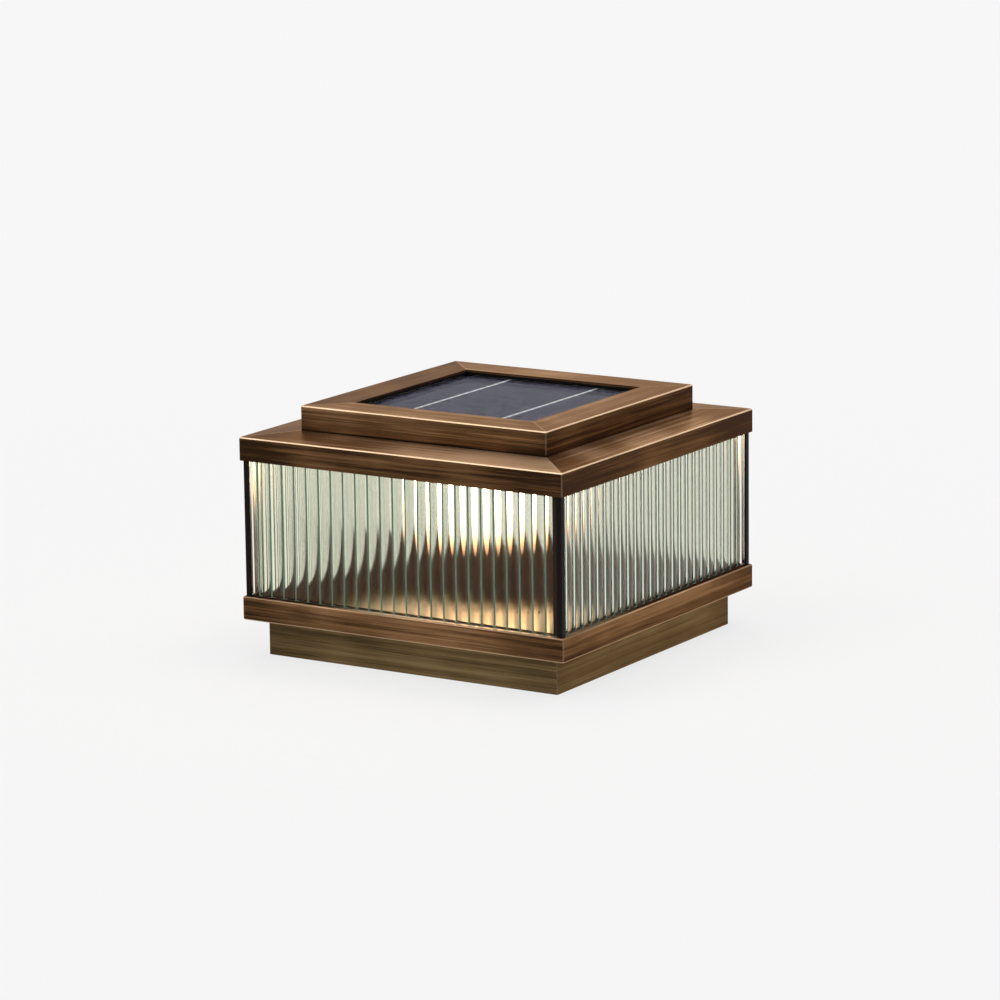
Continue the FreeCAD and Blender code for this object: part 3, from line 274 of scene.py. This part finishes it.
def bronze_streaks(graph):
    """Fine and wide streaks along each side, but straight across the undersides.

    It also gives the place along the side, the height and the distance to the mitres.
    """
    across, along, _ = graph.split(graph.place())
    run, step, height, mitre = brushed_place(graph)
    _, _, normal_z = graph.facing()
    below = graph.ramp(normal_z, -FACING_RAMP[0], -FACING_RAMP[1])
    turn = graph.math("MULTIPLY", below, graph.math("SUBTRACT", across, run))
    run = graph.math("ADD", run, turn)
    turn = graph.math("MULTIPLY", below, graph.math("SUBTRACT", along, step))
    step = graph.math("ADD", step, turn)
    fine = graph.streaks(run, step, height, **FINE_STREAKS)
    wide = graph.streaks(run, step, height, **WIDE_STREAKS)
    return fine, wide, run, height, mitre


def streak_tone(graph, fine, wide):
    """Tone of the streaks from dark to light, with less contrast on level faces."""
    _, _, normal_z = graph.facing()
    tone = graph.math("ADD", graph.math("MULTIPLY", fine, FINE_SHARE),
                      graph.math("MULTIPLY", wide, 1.0 - FINE_SHARE))
    contrast = graph.ramp(normal_z, *FACING_RAMP, 1.0, LEVEL_CONTRAST)
    tone = graph.math("MULTIPLY", graph.math("SUBTRACT", tone, 0.5), contrast)
    return graph.math("ADD", tone, 0.5)


def side_shifts(graph, upright=0.0, level=0.0, left_level=0.0, front_lean=0.0,
                right_upright=0.0):
    """Painted light and shade: shifts in tone of the level faces and of the upright ones.

    upright and level hold for all four sides, painting the uprights and the tops darker or
    lighter.
    left_level, front_lean and right_upright add painted shade and light to them on the -X side's
    level face, from left to right along the -Y side's level face, and on the +X side's upright
    face.
    """
    across, along, _ = graph.split(graph.place())
    normal_x, _, normal_z = graph.facing()
    on_left = graph.math("GREATER_THAN", graph.math("MULTIPLY", across, -1.0),
                         graph.math("ABSOLUTE", along))
    on_front = graph.math("GREATER_THAN", graph.math("MULTIPLY", along, -1.0),
                          graph.math("ABSOLUTE", across))
    lean = graph.math("MULTIPLY", graph.ramp(across, *LEAN_ACROSS_MM, *LEAN_SHARES), front_lean)
    level_tone = graph.math("ADD", graph.math("MULTIPLY", on_left, left_level),
                            graph.math("MULTIPLY", on_front, lean))
    level_tone = graph.math("MULTIPLY", graph.math("ADD", level_tone, level),
                            graph.ramp(normal_z, *FACING_RAMP))
    right_tone = graph.math("MULTIPLY", graph.ramp(normal_x, *FACING_RAMP), right_upright)
    upright_tone = graph.math("ADD", right_tone, graph.ramp(normal_z, *FACING_RAMP, upright, 0.0))
    return level_tone, upright_tone


def fold_wear_and_highlight(graph, fine, edge):
    """How bright the folds are with wear and a painted highlight; edge is this on their upper
    halves.
    """
    normal_x, normal_y, normal_z = graph.facing()
    flat = graph.math("MAXIMUM", graph.math("ABSOLUTE", normal_x),
                      graph.math("ABSOLUTE", normal_y))
    flat = graph.math("MAXIMUM", flat, graph.math("ABSOLUTE", normal_z))
    fold = graph.ramp(flat, *FLAT_TO_FOLD)
    upper = graph.ramp(normal_z, *FOLD_TURN, 0.0, edge)
    underside = graph.ramp(normal_z, -FOLD_TURN[0], -FOLD_TURN[1], 0.0, UNDERSIDE_WEAR_AND_HIGHLIGHT)
    strength = graph.math("ADD", graph.math("ADD", upper, underside), LEAST_WEAR_AND_HIGHLIGHT, clamp=True)
    strength = graph.math("MULTIPLY", strength, graph.ramp(fine, *STREAKS_TO_WEAR_AND_HIGHLIGHT))
    return graph.math("MULTIPLY", fold, strength)


def bronze(name, dark, middle, light, pale, wear_and_highlight_colour, seams=0.0, edge=1.0, foot=None,
           **shifts):
    """Antique bronze, brushed along each side, its folds bright with wear and a painted highlight.

    Upright faces run from dark to light, and level faces from dark to pale; the paler tops are
    painted light from above. seams is how bright the mitres are on level faces. foot is a height
    in millimetres, below which the faces darken with the painted shade of the joint there.
    shifts go to side_shifts, which paints light and shade on single sides.
    """
    material, graph = new_graph(name)
    fine, wide, run, height, mitre = bronze_streaks(graph)
    cloud = graph.noise(graph.place(), **BRONZE_CLOUD)
    _, _, normal_z = graph.facing()
    level_share = graph.ramp(normal_z, *FACING_RAMP)
    tone = streak_tone(graph, fine, wide)
    # Random cloud, painted shade towards the corners, and painted side light and shade.
    for shift in (graph.ramp(cloud, *NOISE_RANGE, -CLOUD_TONE, CLOUD_TONE),
                  graph.ramp(graph.math("ABSOLUTE", run), *CORNER_RUN_MM, *CORNER_TONES),
                  *side_shifts(graph, **shifts)):
        tone = graph.math("ADD", tone, shift)
    colour = graph.blend(graph.ramp(tone, *DARK_TO_MIDDLE), dark, middle)
    # The paler shade of level faces is painted light falling on the tops.
    lightest = graph.blend(level_share, light, pale)
    lit = graph.blend(level_share, graph.ramp(tone, *MIDDLE_TO_LIGHT),
                      graph.ramp(tone, *MIDDLE_TO_PALE))
    colour = graph.blend(lit, colour, lightest)
    # The folds are bright with wear and with a painted highlight.
    wear_and_highlight = fold_wear_and_highlight(graph, fine, edge)
    if seams:
        seam = graph.math("MULTIPLY", graph.ramp(mitre, *SEAM_MM), level_share)
        wear_and_highlight = graph.math("MAXIMUM", wear_and_highlight, graph.math("MULTIPLY", seam, seams))
    colour = graph.blend(wear_and_highlight, colour, wear_and_highlight_colour)
    # Painted shade darkens the faces below the foot, in the joint there.
    if foot:
        wave = graph.ramp(cloud, *NOISE_RANGE, -SHADE_WAVE_MM, SHADE_WAVE_MM)
        clean_above, dark_below = (foot + above for above in SHADE_ABOVE_FOOT_MM)
        painted_shade = graph.ramp(graph.math("ADD", height, wave), clean_above, dark_below)
        colour = graph.blend(painted_shade, colour, (0.010, 0.006, 0.003, 1))
    graph.finish(graph.surface(Base_Color=colour, Metallic=0.68, Specular_IOR_Level=0.2,
                               Specular_Tint=(0.90, 0.56, 0.34, 1),
                               Roughness=graph.ramp(fine, *WIDE_NOISE_RANGE, 0.46, 0.30),
                               Normal=graph.bump(fine, 0.25, 0.05)))
    return material


def chamber_floor():
    """Glossy dark bronze of the lantern's floor, with a painted pool of lamp light at the front.
    """
    material, graph = new_graph("chamber_floor")
    across, along, _ = graph.split(graph.place())
    run, step, height, _ = brushed_place(graph)
    fine = graph.streaks(run, step, height, **FLOOR_STREAKS)
    cloud = graph.noise(graph.place(), **FLOOR_CLOUD)
    colour = graph.blend(graph.ramp(fine, *NOISE_RANGE), (0.060, 0.038, 0.022, 1),
                         (0.150, 0.100, 0.060, 1))
    edge = graph.math("ADD", along, graph.ramp(cloud, *NOISE_RANGE, -PATCH_WAVE, PATCH_WAVE))
    edge = graph.math("ADD", edge, graph.ramp(across, *PATCH_RIGHT, 0.0, PATCH_WIDENING))
    aside = graph.math("ABSOLUTE", graph.math("SUBTRACT", across, PATCH_CENTRE))
    # A painted pool of warm lamp light near the front corner, in cream and less metallic.
    painted_light_pool = graph.math("MULTIPLY", graph.ramp(edge, *PATCH_ALONG),
                        graph.ramp(aside, *PATCH_ASIDE))
    colour = graph.blend(painted_light_pool, colour, (0.90, 0.76, 0.58, 1))
    graph.finish(graph.surface(Base_Color=colour,
                               Metallic=graph.ramp(painted_light_pool, 0.0, 1.0, 1.0, 0.6),
                               Specular_IOR_Level=0.2, Specular_Tint=(0.34, 0.26, 0.18, 1),
                               Roughness=graph.ramp(fine, *WIDE_NOISE_RANGE, 0.40, 0.32)))
    return material


def black_paint():
    """Satin black with a little grain."""
    material, graph = new_graph("black_paint")
    grain = graph.noise(graph.place(), 1.2, 4.0)
    colour = graph.blend(grain, (0.002, 0.001, 0.001, 1), (0.009, 0.005, 0.004, 1))
    graph.finish(graph.surface(Base_Color=colour, Specular_IOR_Level=0.08,
                               Roughness=graph.ramp(grain, *NOISE_RANGE, 0.32, 0.5),
                               Normal=graph.bump(grain, 0.15, 0.05)))
    return material


def plain(name, low, high, rough, metallic=0.0, scale=0.8, relief=0.1, shine=0.5):
    """A moulded, painted or plated surface with mottling between two colours."""
    material, graph = new_graph(name)
    grain = graph.noise(graph.place(), scale, 5.0, 0.6)
    colour = graph.blend(graph.ramp(grain, *NOISE_RANGE), low, high)
    shader = graph.surface(Base_Color=colour, Metallic=metallic, Specular_IOR_Level=shine,
                           Roughness=graph.ramp(grain, 0.25, 0.75, rough * 0.8, rough * 1.2),
                           Normal=graph.bump(grain, relief, 0.05))
    graph.finish(shader)
    return material


def clear_to_shadows(graph, shader, tint):
    """Let light through a glass surface without bending its shadow."""
    clear = graph.add("ShaderNodeBsdfTransparent", {"Color": tint})
    is_shadow = graph.add("ShaderNodeLightPath").outputs["Is Shadow Ray"]
    return graph.add("ShaderNodeMixShader", {0: is_shadow, 1: shader.outputs[0],
                                             2: clear.outputs[0]})


def reeded_glass():
    """Pressed glass, faintly green and softly rough."""
    material, graph = new_graph("reeded_glass")
    ridge = graph.add("ShaderNodeAttribute", attribute_name="ridge").outputs["Fac"]
    ripple = graph.noise(graph.place(), 0.12, 2.0)
    # The glass turns greener towards the ridges, with the painted ridge lines.
    colour = graph.blend(graph.ramp(ridge, 0.5, 1.0), (0.985, 0.972, 0.865, 1),
                         (0.72, 0.80, 0.70, 1))
    shader = graph.surface(Base_Color=colour, IOR=1.5, Transmission_Weight=1.0,
                           Specular_Tint=(0.20, 0.22, 0.18, 1),
                           Roughness=graph.ramp(ripple, *NOISE_RANGE, 0.08, 0.13),
                           Normal=graph.bump(ripple, 0.05, 0.3))
    graph.finish(clear_to_shadows(graph, shader, (0.90, 0.93, 0.88, 1)))
    return material


def ridge_glass():
    """The ridges between flutes in a dull green: painted shade for the dark lines they show."""
    material, graph = new_graph("ridge_glass")
    grain = graph.noise(graph.place(), 0.25, 3.0)
    colour = graph.blend(grain, (0.085, 0.150, 0.095, 1), (0.175, 0.260, 0.180, 1))
    graph.finish(graph.surface(Base_Color=colour, Roughness=0.45, Specular_IOR_Level=0.25))
    return material


def painted_dark_end():
    """Dark brown, a painted dark reflection on one pane's near end."""
    material, graph = new_graph("painted_dark_end")
    grain = graph.noise(graph.place(), 0.9, 3.0)
    colour = graph.blend(grain, (0.012, 0.006, 0.004, 1), (0.040, 0.022, 0.014, 1))
    graph.finish(graph.surface(Base_Color=colour, Roughness=0.6, Specular_IOR_Level=0.1))
    return material


def panel_glass():
    """Flat clear glass over the solar cells."""
    material, graph = new_graph("panel_glass")
    dust = graph.noise(graph.place(), 0.09, 4.0)
    shader = graph.surface(Base_Color=(0.96, 0.97, 0.98, 1), IOR=1.025, Transmission_Weight=1.0,
                           Roughness=graph.ramp(dust, 0.35, 0.75, 0.03, 0.10))
    graph.finish(clear_to_shadows(graph, shader, (0.92, 0.93, 0.95, 1)))
    return material


def solar_cells():
    """Dark slate silicon with fine collecting lines across the ribbons."""
    material, graph = new_graph("solar_cells")
    _, along, _ = graph.split(graph.place())
    phase = graph.math("FRACT", graph.math("DIVIDE", along, CELL_LINE_PITCH))
    line = graph.ramp(graph.math("ABSOLUTE", graph.math("SUBTRACT", phase, 0.5)), 0.40, 0.49)
    grain = graph.noise(graph.place(), 0.25, 5.0)
    colour = graph.blend(graph.ramp(grain, *NOISE_RANGE), (0.007, 0.007, 0.015, 1),
                         (0.040, 0.037, 0.056, 1))
    colour = graph.blend(graph.math("MULTIPLY", line, 0.6), colour, (0.070, 0.072, 0.088, 1))
    graph.finish(graph.surface(Base_Color=colour, Roughness=0.38, Specular_IOR_Level=0.0))
    return material


def ribbon():
    """Tinned ribbon with brighter solder spots along it."""
    material, graph = new_graph("tinned_ribbon")
    _, along, _ = graph.split(graph.place())
    phase = graph.math("FRACT", graph.math("DIVIDE", along, SOLDER_SPOT_PITCH))
    spot = graph.ramp(graph.math("ABSOLUTE", graph.math("SUBTRACT", phase, 0.5)), 0.22, 0.10)
    colour = graph.blend(spot, (0.76, 0.75, 0.73, 1), (0.95, 0.94, 0.92, 1))
    graph.finish(graph.surface(Base_Color=colour, Metallic=0.1, Roughness=0.42))
    return material


def lit_dome():
    """Frosted plastic that glows warm white, brightest near the LEDs."""
    material, graph = new_graph("frosted_dome")
    _, _, height = graph.split(graph.place())
    cloud = graph.noise(graph.place(), 0.08, 3.0)
    lit = graph.math("POWER", graph.ramp(height, *GLOW_HEIGHTS), GLOW_POWER)
    lit = graph.math("MULTIPLY", lit, graph.ramp(cloud, *WIDE_NOISE_RANGE, 0.94, 1.06))
    shader = graph.surface(Base_Color=(0.92, 0.88, 0.80, 1), Roughness=0.55)
    graph.feed(shader.inputs["Emission Color"],
               graph.blend(lit, (1.0, 0.42, 0.18, 1), (1.0, 0.80, 0.56, 1)))
    graph.feed(shader.inputs["Emission Strength"],
               graph.math("ADD", graph.math("MULTIPLY", lit, GLOW_STRENGTH), GLOW_LEAST))
    graph.finish(shader)
    return material


# --- Pieces modelled here ------------------------------------------------------------------------


def flute_points(start, end, face):
    """Points along the reeded face of the front pane, with the nearness of a ridge at each."""
    half_chord = (FLUTE_PITCH - FLUTE_LAND) / 2
    first_centre = start + FIRST_RIDGE - FLUTE_PITCH / 2
    axis_depth = math.sqrt(FLUTE_RADIUS ** 2 - half_chord ** 2)
    count = math.ceil((end - start - FIRST_RIDGE) / FLUTE_PITCH + 1)
    points = []
    for index in range(count):
        centre = first_centre + index * FLUTE_PITCH
        for step in range(FLUTE_STEPS + 1):
            share = step / FLUTE_STEPS * 2 - 1
            offset = share * half_chord
            depth = math.sqrt(FLUTE_RADIUS ** 2 - offset ** 2) - axis_depth
            across = centre + offset
            if start < across < end:
                points.append((across, face + depth, abs(share)))
    first = (start, points[0][1], points[0][2])
    last = (end, points[-1][1], points[-1][2])
    return [first, *points, last]


def make_pane(node, turn, materials):
    """One reeded pane with smooth flutes, in place of its coarser CAD node."""
    low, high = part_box(node)
    back_turn = Matrix.Rotation(-turn, 4, "Z")
    corners = [back_turn @ low, back_turn @ high]
    start = min(corner.x for corner in corners)
    end = max(corner.x for corner in corners)
    face = min(corner.y for corner in corners)
    back = max(corner.y for corner in corners)
    profile = flute_points(start, end, face)
    mesh = bmesh.new()
    ridge_layer = mesh.verts.layers.float.new("ridge")

    def add_vertex(across, along, height, ridge):
        vertex = mesh.verts.new((across, along, height))
        vertex[ridge_layer] = ridge
        return vertex

    rows = []
    for across, along, ridge in profile:
        rows.append([add_vertex(across, depth, height, ridge)
                     for depth in (along, back) for height in (low.z, high.z)])
    for left, right in zip(rows, rows[1:]):
        outer = mesh.faces.new((left[0], right[0], right[1], left[1]))
        outer.smooth = True
        # Faces at a ridge take the painted dull green of the ridge lines.
        if left[0][ridge_layer] > RIDGE_SHARE and right[0][ridge_layer] > RIDGE_SHARE:
            outer.material_index = 2
        mesh.faces.new((right[2], left[2], left[3], right[3]))
        mesh.faces.new((left[1], right[1], right[3], left[3]))
        mesh.faces.new((right[0], left[0], left[2], right[2]))
    near_end = mesh.faces.new((rows[0][2], rows[0][0], rows[0][1], rows[0][3]))
    mesh.faces.new((rows[-1][0], rows[-1][2], rows[-1][3], rows[-1][1]))
    # A painted dark reflection on this pane's near end.
    if node == DARK_END_PANE:
        near_end.material_index = 1
    bmesh.ops.recalc_face_normals(mesh, faces=mesh.faces)
    for edge in mesh.edges:
        if len(edge.link_faces) == 2 and edge.calc_face_angle() > SHARP_EDGE:
            edge.smooth = False
    data = bpy.data.meshes.new(f"reeded_{node}")
    mesh.to_mesh(data)
    mesh.free()
    data.transform(Matrix.Rotation(turn, 4, "Z"))
    for material in materials:
        data.materials.append(material)
    pane = bpy.data.objects.new(f"reeded_{node}", data)
    bpy.context.scene.collection.objects.link(pane)
    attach(pane, "base")
    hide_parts(node)


# --- Stage, light and camera ---------------------------------------------------------------------


def seen_share(graph, share):
    """A share for rays from the camera, gloss and glass, and none for diffuse light."""
    path = graph.add("ShaderNodeLightPath").outputs
    seen = graph.math("MAXIMUM", path["Is Camera Ray"], path["Is Glossy Ray"])
    seen = graph.math("MAXIMUM", seen, path["Is Transmission Ray"])
    return graph.math("MULTIPLY", seen, share)


def make_stage():
    """A wide pale floor that keeps the light's shadow."""
    bpy.ops.mesh.primitive_plane_add(size=FLOOR_SIZE, location=(0, 0, 0))
    floor = bpy.context.object
    floor.name = "floor"
    material, graph = new_graph("floor")
    paper = graph.add("ShaderNodeBsdfDiffuse", {"Color": PAPER_GREY})
    glow = graph.add("ShaderNodeEmission", {"Color": PAPER_WHITE, "Strength": 1.0})
    across, along, _ = graph.split(graph.place())
    reach = graph.math("SQRT", graph.math("ADD", graph.math("MULTIPLY", across, across),
                                          graph.math("MULTIPLY", along, along)))
    share = graph.ramp(reach, *SHADOW_REACH_MM, PAPER_SHARE_NEAR, 1.0)
    graph.finish(graph.add("ShaderNodeMixShader", {0: seen_share(graph, share),
                                                   1: paper.outputs[0], 2: glow.outputs[0]}))
    floor.data.materials.append(material)


def make_world():
    """Plain surroundings: paper white to the camera, metal and glass, softer as a light."""
    world = bpy.data.worlds.new("studio")
    bpy.context.scene.world = world
    graph = Graph(world)
    strength = graph.math("ADD", seen_share(graph, 1.0 - WORLD_STRENGTH), WORLD_STRENGTH)
    background = graph.add("ShaderNodeBackground", {"Color": PAPER_WHITE, "Strength": strength})
    output = graph.add("ShaderNodeOutputWorld")
    graph.tree.links.new(background.outputs[0], output.inputs[0])


def make_light(name, place, aim, size, power):
    """A soft rectangular lamp that looks at a point."""
    data = bpy.data.lights.new(name, "AREA")
    data.shape = "RECTANGLE"
    data.size, data.size_y = size
    data.energy = power
    lamp = bpy.data.objects.new(name, data)
    lamp.location = place
    lamp.rotation_euler = (Vector(aim) - Vector(place)).to_track_quat("-Z", "Y").to_euler()
    bpy.context.scene.collection.objects.link(lamp)


def make_camera():
    """The photograph's camera: direction, distance, focal length and aim."""
    azimuth, elevation, roll = (math.radians(angle) for angle in
                                (CAMERA_AZIMUTH, CAMERA_ELEVATION, CAMERA_ROLL))
    back = Vector((math.sin(azimuth) * math.cos(elevation),
                   -math.cos(azimuth) * math.cos(elevation), math.sin(elevation)))
    level_right = Vector((math.cos(azimuth), math.sin(azimuth), 0.0))
    level_up = back.cross(level_right)
    right = level_right * math.cos(roll) + level_up * math.sin(roll)
    up = level_up * math.cos(roll) - level_right * math.sin(roll)
    per_pixel = CAMERA_DISTANCE / CAMERA_FOCAL_PX
    off_right, off_down = (pixel - PHOTO_SIZE_PX / 2 for pixel in AIM_PX)
    centre = AIM_POINT - right * off_right * per_pixel + up * off_down * per_pixel
    data = bpy.data.cameras.new("photo_camera")
    data.sensor_width = SENSOR_MM
    data.lens = CAMERA_FOCAL_PX / PHOTO_SIZE_PX * SENSOR_MM
    data.clip_start = 0.05
    data.clip_end = 50.0
    camera = bpy.data.objects.new("photo_camera", data)
    turn = Matrix((right, up, back)).transposed().to_4x4()
    camera.matrix_world = Matrix.Translation(centre + back * CAMERA_DISTANCE) @ turn
    bpy.context.scene.collection.objects.link(camera)
    bpy.context.scene.camera = camera


# --- The whole scene -----------------------------------------------------------------------------


def dress_metal():
    """Bronze on the folded sheets, and black paint on the posts and the ring."""
    dark = (0.022, 0.010, 0.004, 1)
    middle = (0.110, 0.054, 0.022, 1)
    light = (0.260, 0.140, 0.066, 1)
    # The pale shade of the level faces is painted light on the tops.
    pale = (0.600, 0.395, 0.240, 1)
    # The colour of the folds' wear and painted highlight.
    bright_wear_and_highlight = (0.90, 0.66, 0.44, 1)
    shades = (dark, middle, light, pale, bright_wear_and_highlight)
    # The shifts in tone below paint light and shade on single sides, tops and uprights.
    roof = bronze("bronze_roof", *shades, seams=0.5, upright=-0.05, level=0.05,
                  left_level=-0.07, front_lean=0.11, right_upright=-0.03)
    tray = bronze("bronze_tray", *shades, seams=0.5, upright=-0.01, level=0.03,
                  left_level=-0.13, right_upright=-0.05, foot=TRAY_FOOT_MM)
    metal = bronze("bronze", *shades, edge=0.15, upright=0.02, level=0.02)
    olive = (0.210, 0.145, 0.068, 1)
    plinth = bronze("bronze_plinth", (0.060, 0.038, 0.016, 1), (0.130, 0.085, 0.036, 1),
                    olive, olive, (0.45, 0.34, 0.20, 1), edge=0.4)
    dress(roof, "roof_shell")
    dress(tray, "panel_tray")
    dress(metal, "deck", "ceiling_plate", "dome_ring")
    dress_floor(chamber_floor())
    dress(plinth, "plinth")
    dress(black_paint(), "corner_post_front_right", "corner_post_back_right",
          "corner_post_back_left", "corner_post_front_left", "top_ring")


def dress_small_pieces():
    """Rubber, foam, plated steel and plastics."""
    rubber = plain("black_rubber", (0.002, 0.002, 0.002, 1), (0.006, 0.005, 0.005, 1), 0.8,
                   shine=0.1)
    foam = plain("foam", (0.03, 0.03, 0.03, 1), (0.07, 0.07, 0.07, 1), 0.95, scale=1.5,
                 relief=0.6)
    zinc = plain("zinc_steel", (0.45, 0.45, 0.43, 1), (0.68, 0.68, 0.65, 1), 0.35, metallic=1.0)
    nickel = plain("nickel", (0.55, 0.54, 0.50, 1), (0.72, 0.70, 0.66, 1), 0.25, metallic=1.0)
    black_plastic = plain("black_plastic", (0.016, 0.016, 0.017, 1), (0.03, 0.03, 0.032, 1), 0.5)
    white_plastic = plain("white_plastic", (0.78, 0.78, 0.75, 1), (0.86, 0.86, 0.84, 1), 0.5)
    board_green = plain("circuit_board", (0.010, 0.10, 0.035, 1), (0.02, 0.17, 0.06, 1), 0.35)
    wrap = plain("battery_wrap", (0.05, 0.24, 0.10, 1), (0.08, 0.32, 0.14, 1), 0.3)
    button_red = plain("button_plastic", (0.36, 0.03, 0.02, 1), (0.5, 0.05, 0.04, 1), 0.35)
    brown_rubber = plain("brown_rubber", (0.035, 0.022, 0.013, 1), (0.075, 0.048, 0.028, 1), 0.8)
    dress(brown_rubber, "glazing_gasket_lower", "glazing_gasket_upper")
    dress(rubber, "panel_seal")
    dress(foam, "post_pad", "head_seal")
    dress(zinc, "screw_sleeves", "deck_rivets", "standoffs", "ceiling_screws", "tray_screws",
          "tray_nuts", "door_screws", "dome_screws")
    dress(nickel, "battery_contacts")
    dress(black_plastic, "electronics_box", "battery_holder", "battery_door",
          "board_components", "switch_housing")
    dress(white_plastic, "panel_back_sheet", "led_board")
    dress(board_green, "controller_board")
    dress(wrap, "battery_cells")
    dress(button_red, "switch_button")


def dress_panel_and_lamp():
    """Glass, cells and ribbons of the solar panel, and the lit dome."""
    dress(panel_glass(), "panel_glass")
    dress(solar_cells(), "solar_cells")
    dress(ribbon(), "busbar_ribbons")
    dress(lit_dome(), "diffuser_dome", "leds")


def make_panes():
    """The four reeded panes, each turned a quarter from the one before."""
    materials = (reeded_glass(), painted_dark_end(), ridge_glass())
    for index, node in enumerate(PANES):
        make_pane(node, index * math.pi / 2, materials)


bpy.context.scene.view_settings.view_transform = "Standard"
dress_metal()
dress_small_pieces()
dress_panel_and_lamp()
make_panes()
make_stage()
make_world()
make_light("key", place=(-1.2, -1.6, 2.0), aim=(0, 0, 0.06), size=(2.2, 2.0), power=20.0)
make_light("top", place=(0.2, 0.7, 2.2), aim=(0, 0, 0.1), size=(3.0, 2.4), power=31.0)
make_camera()
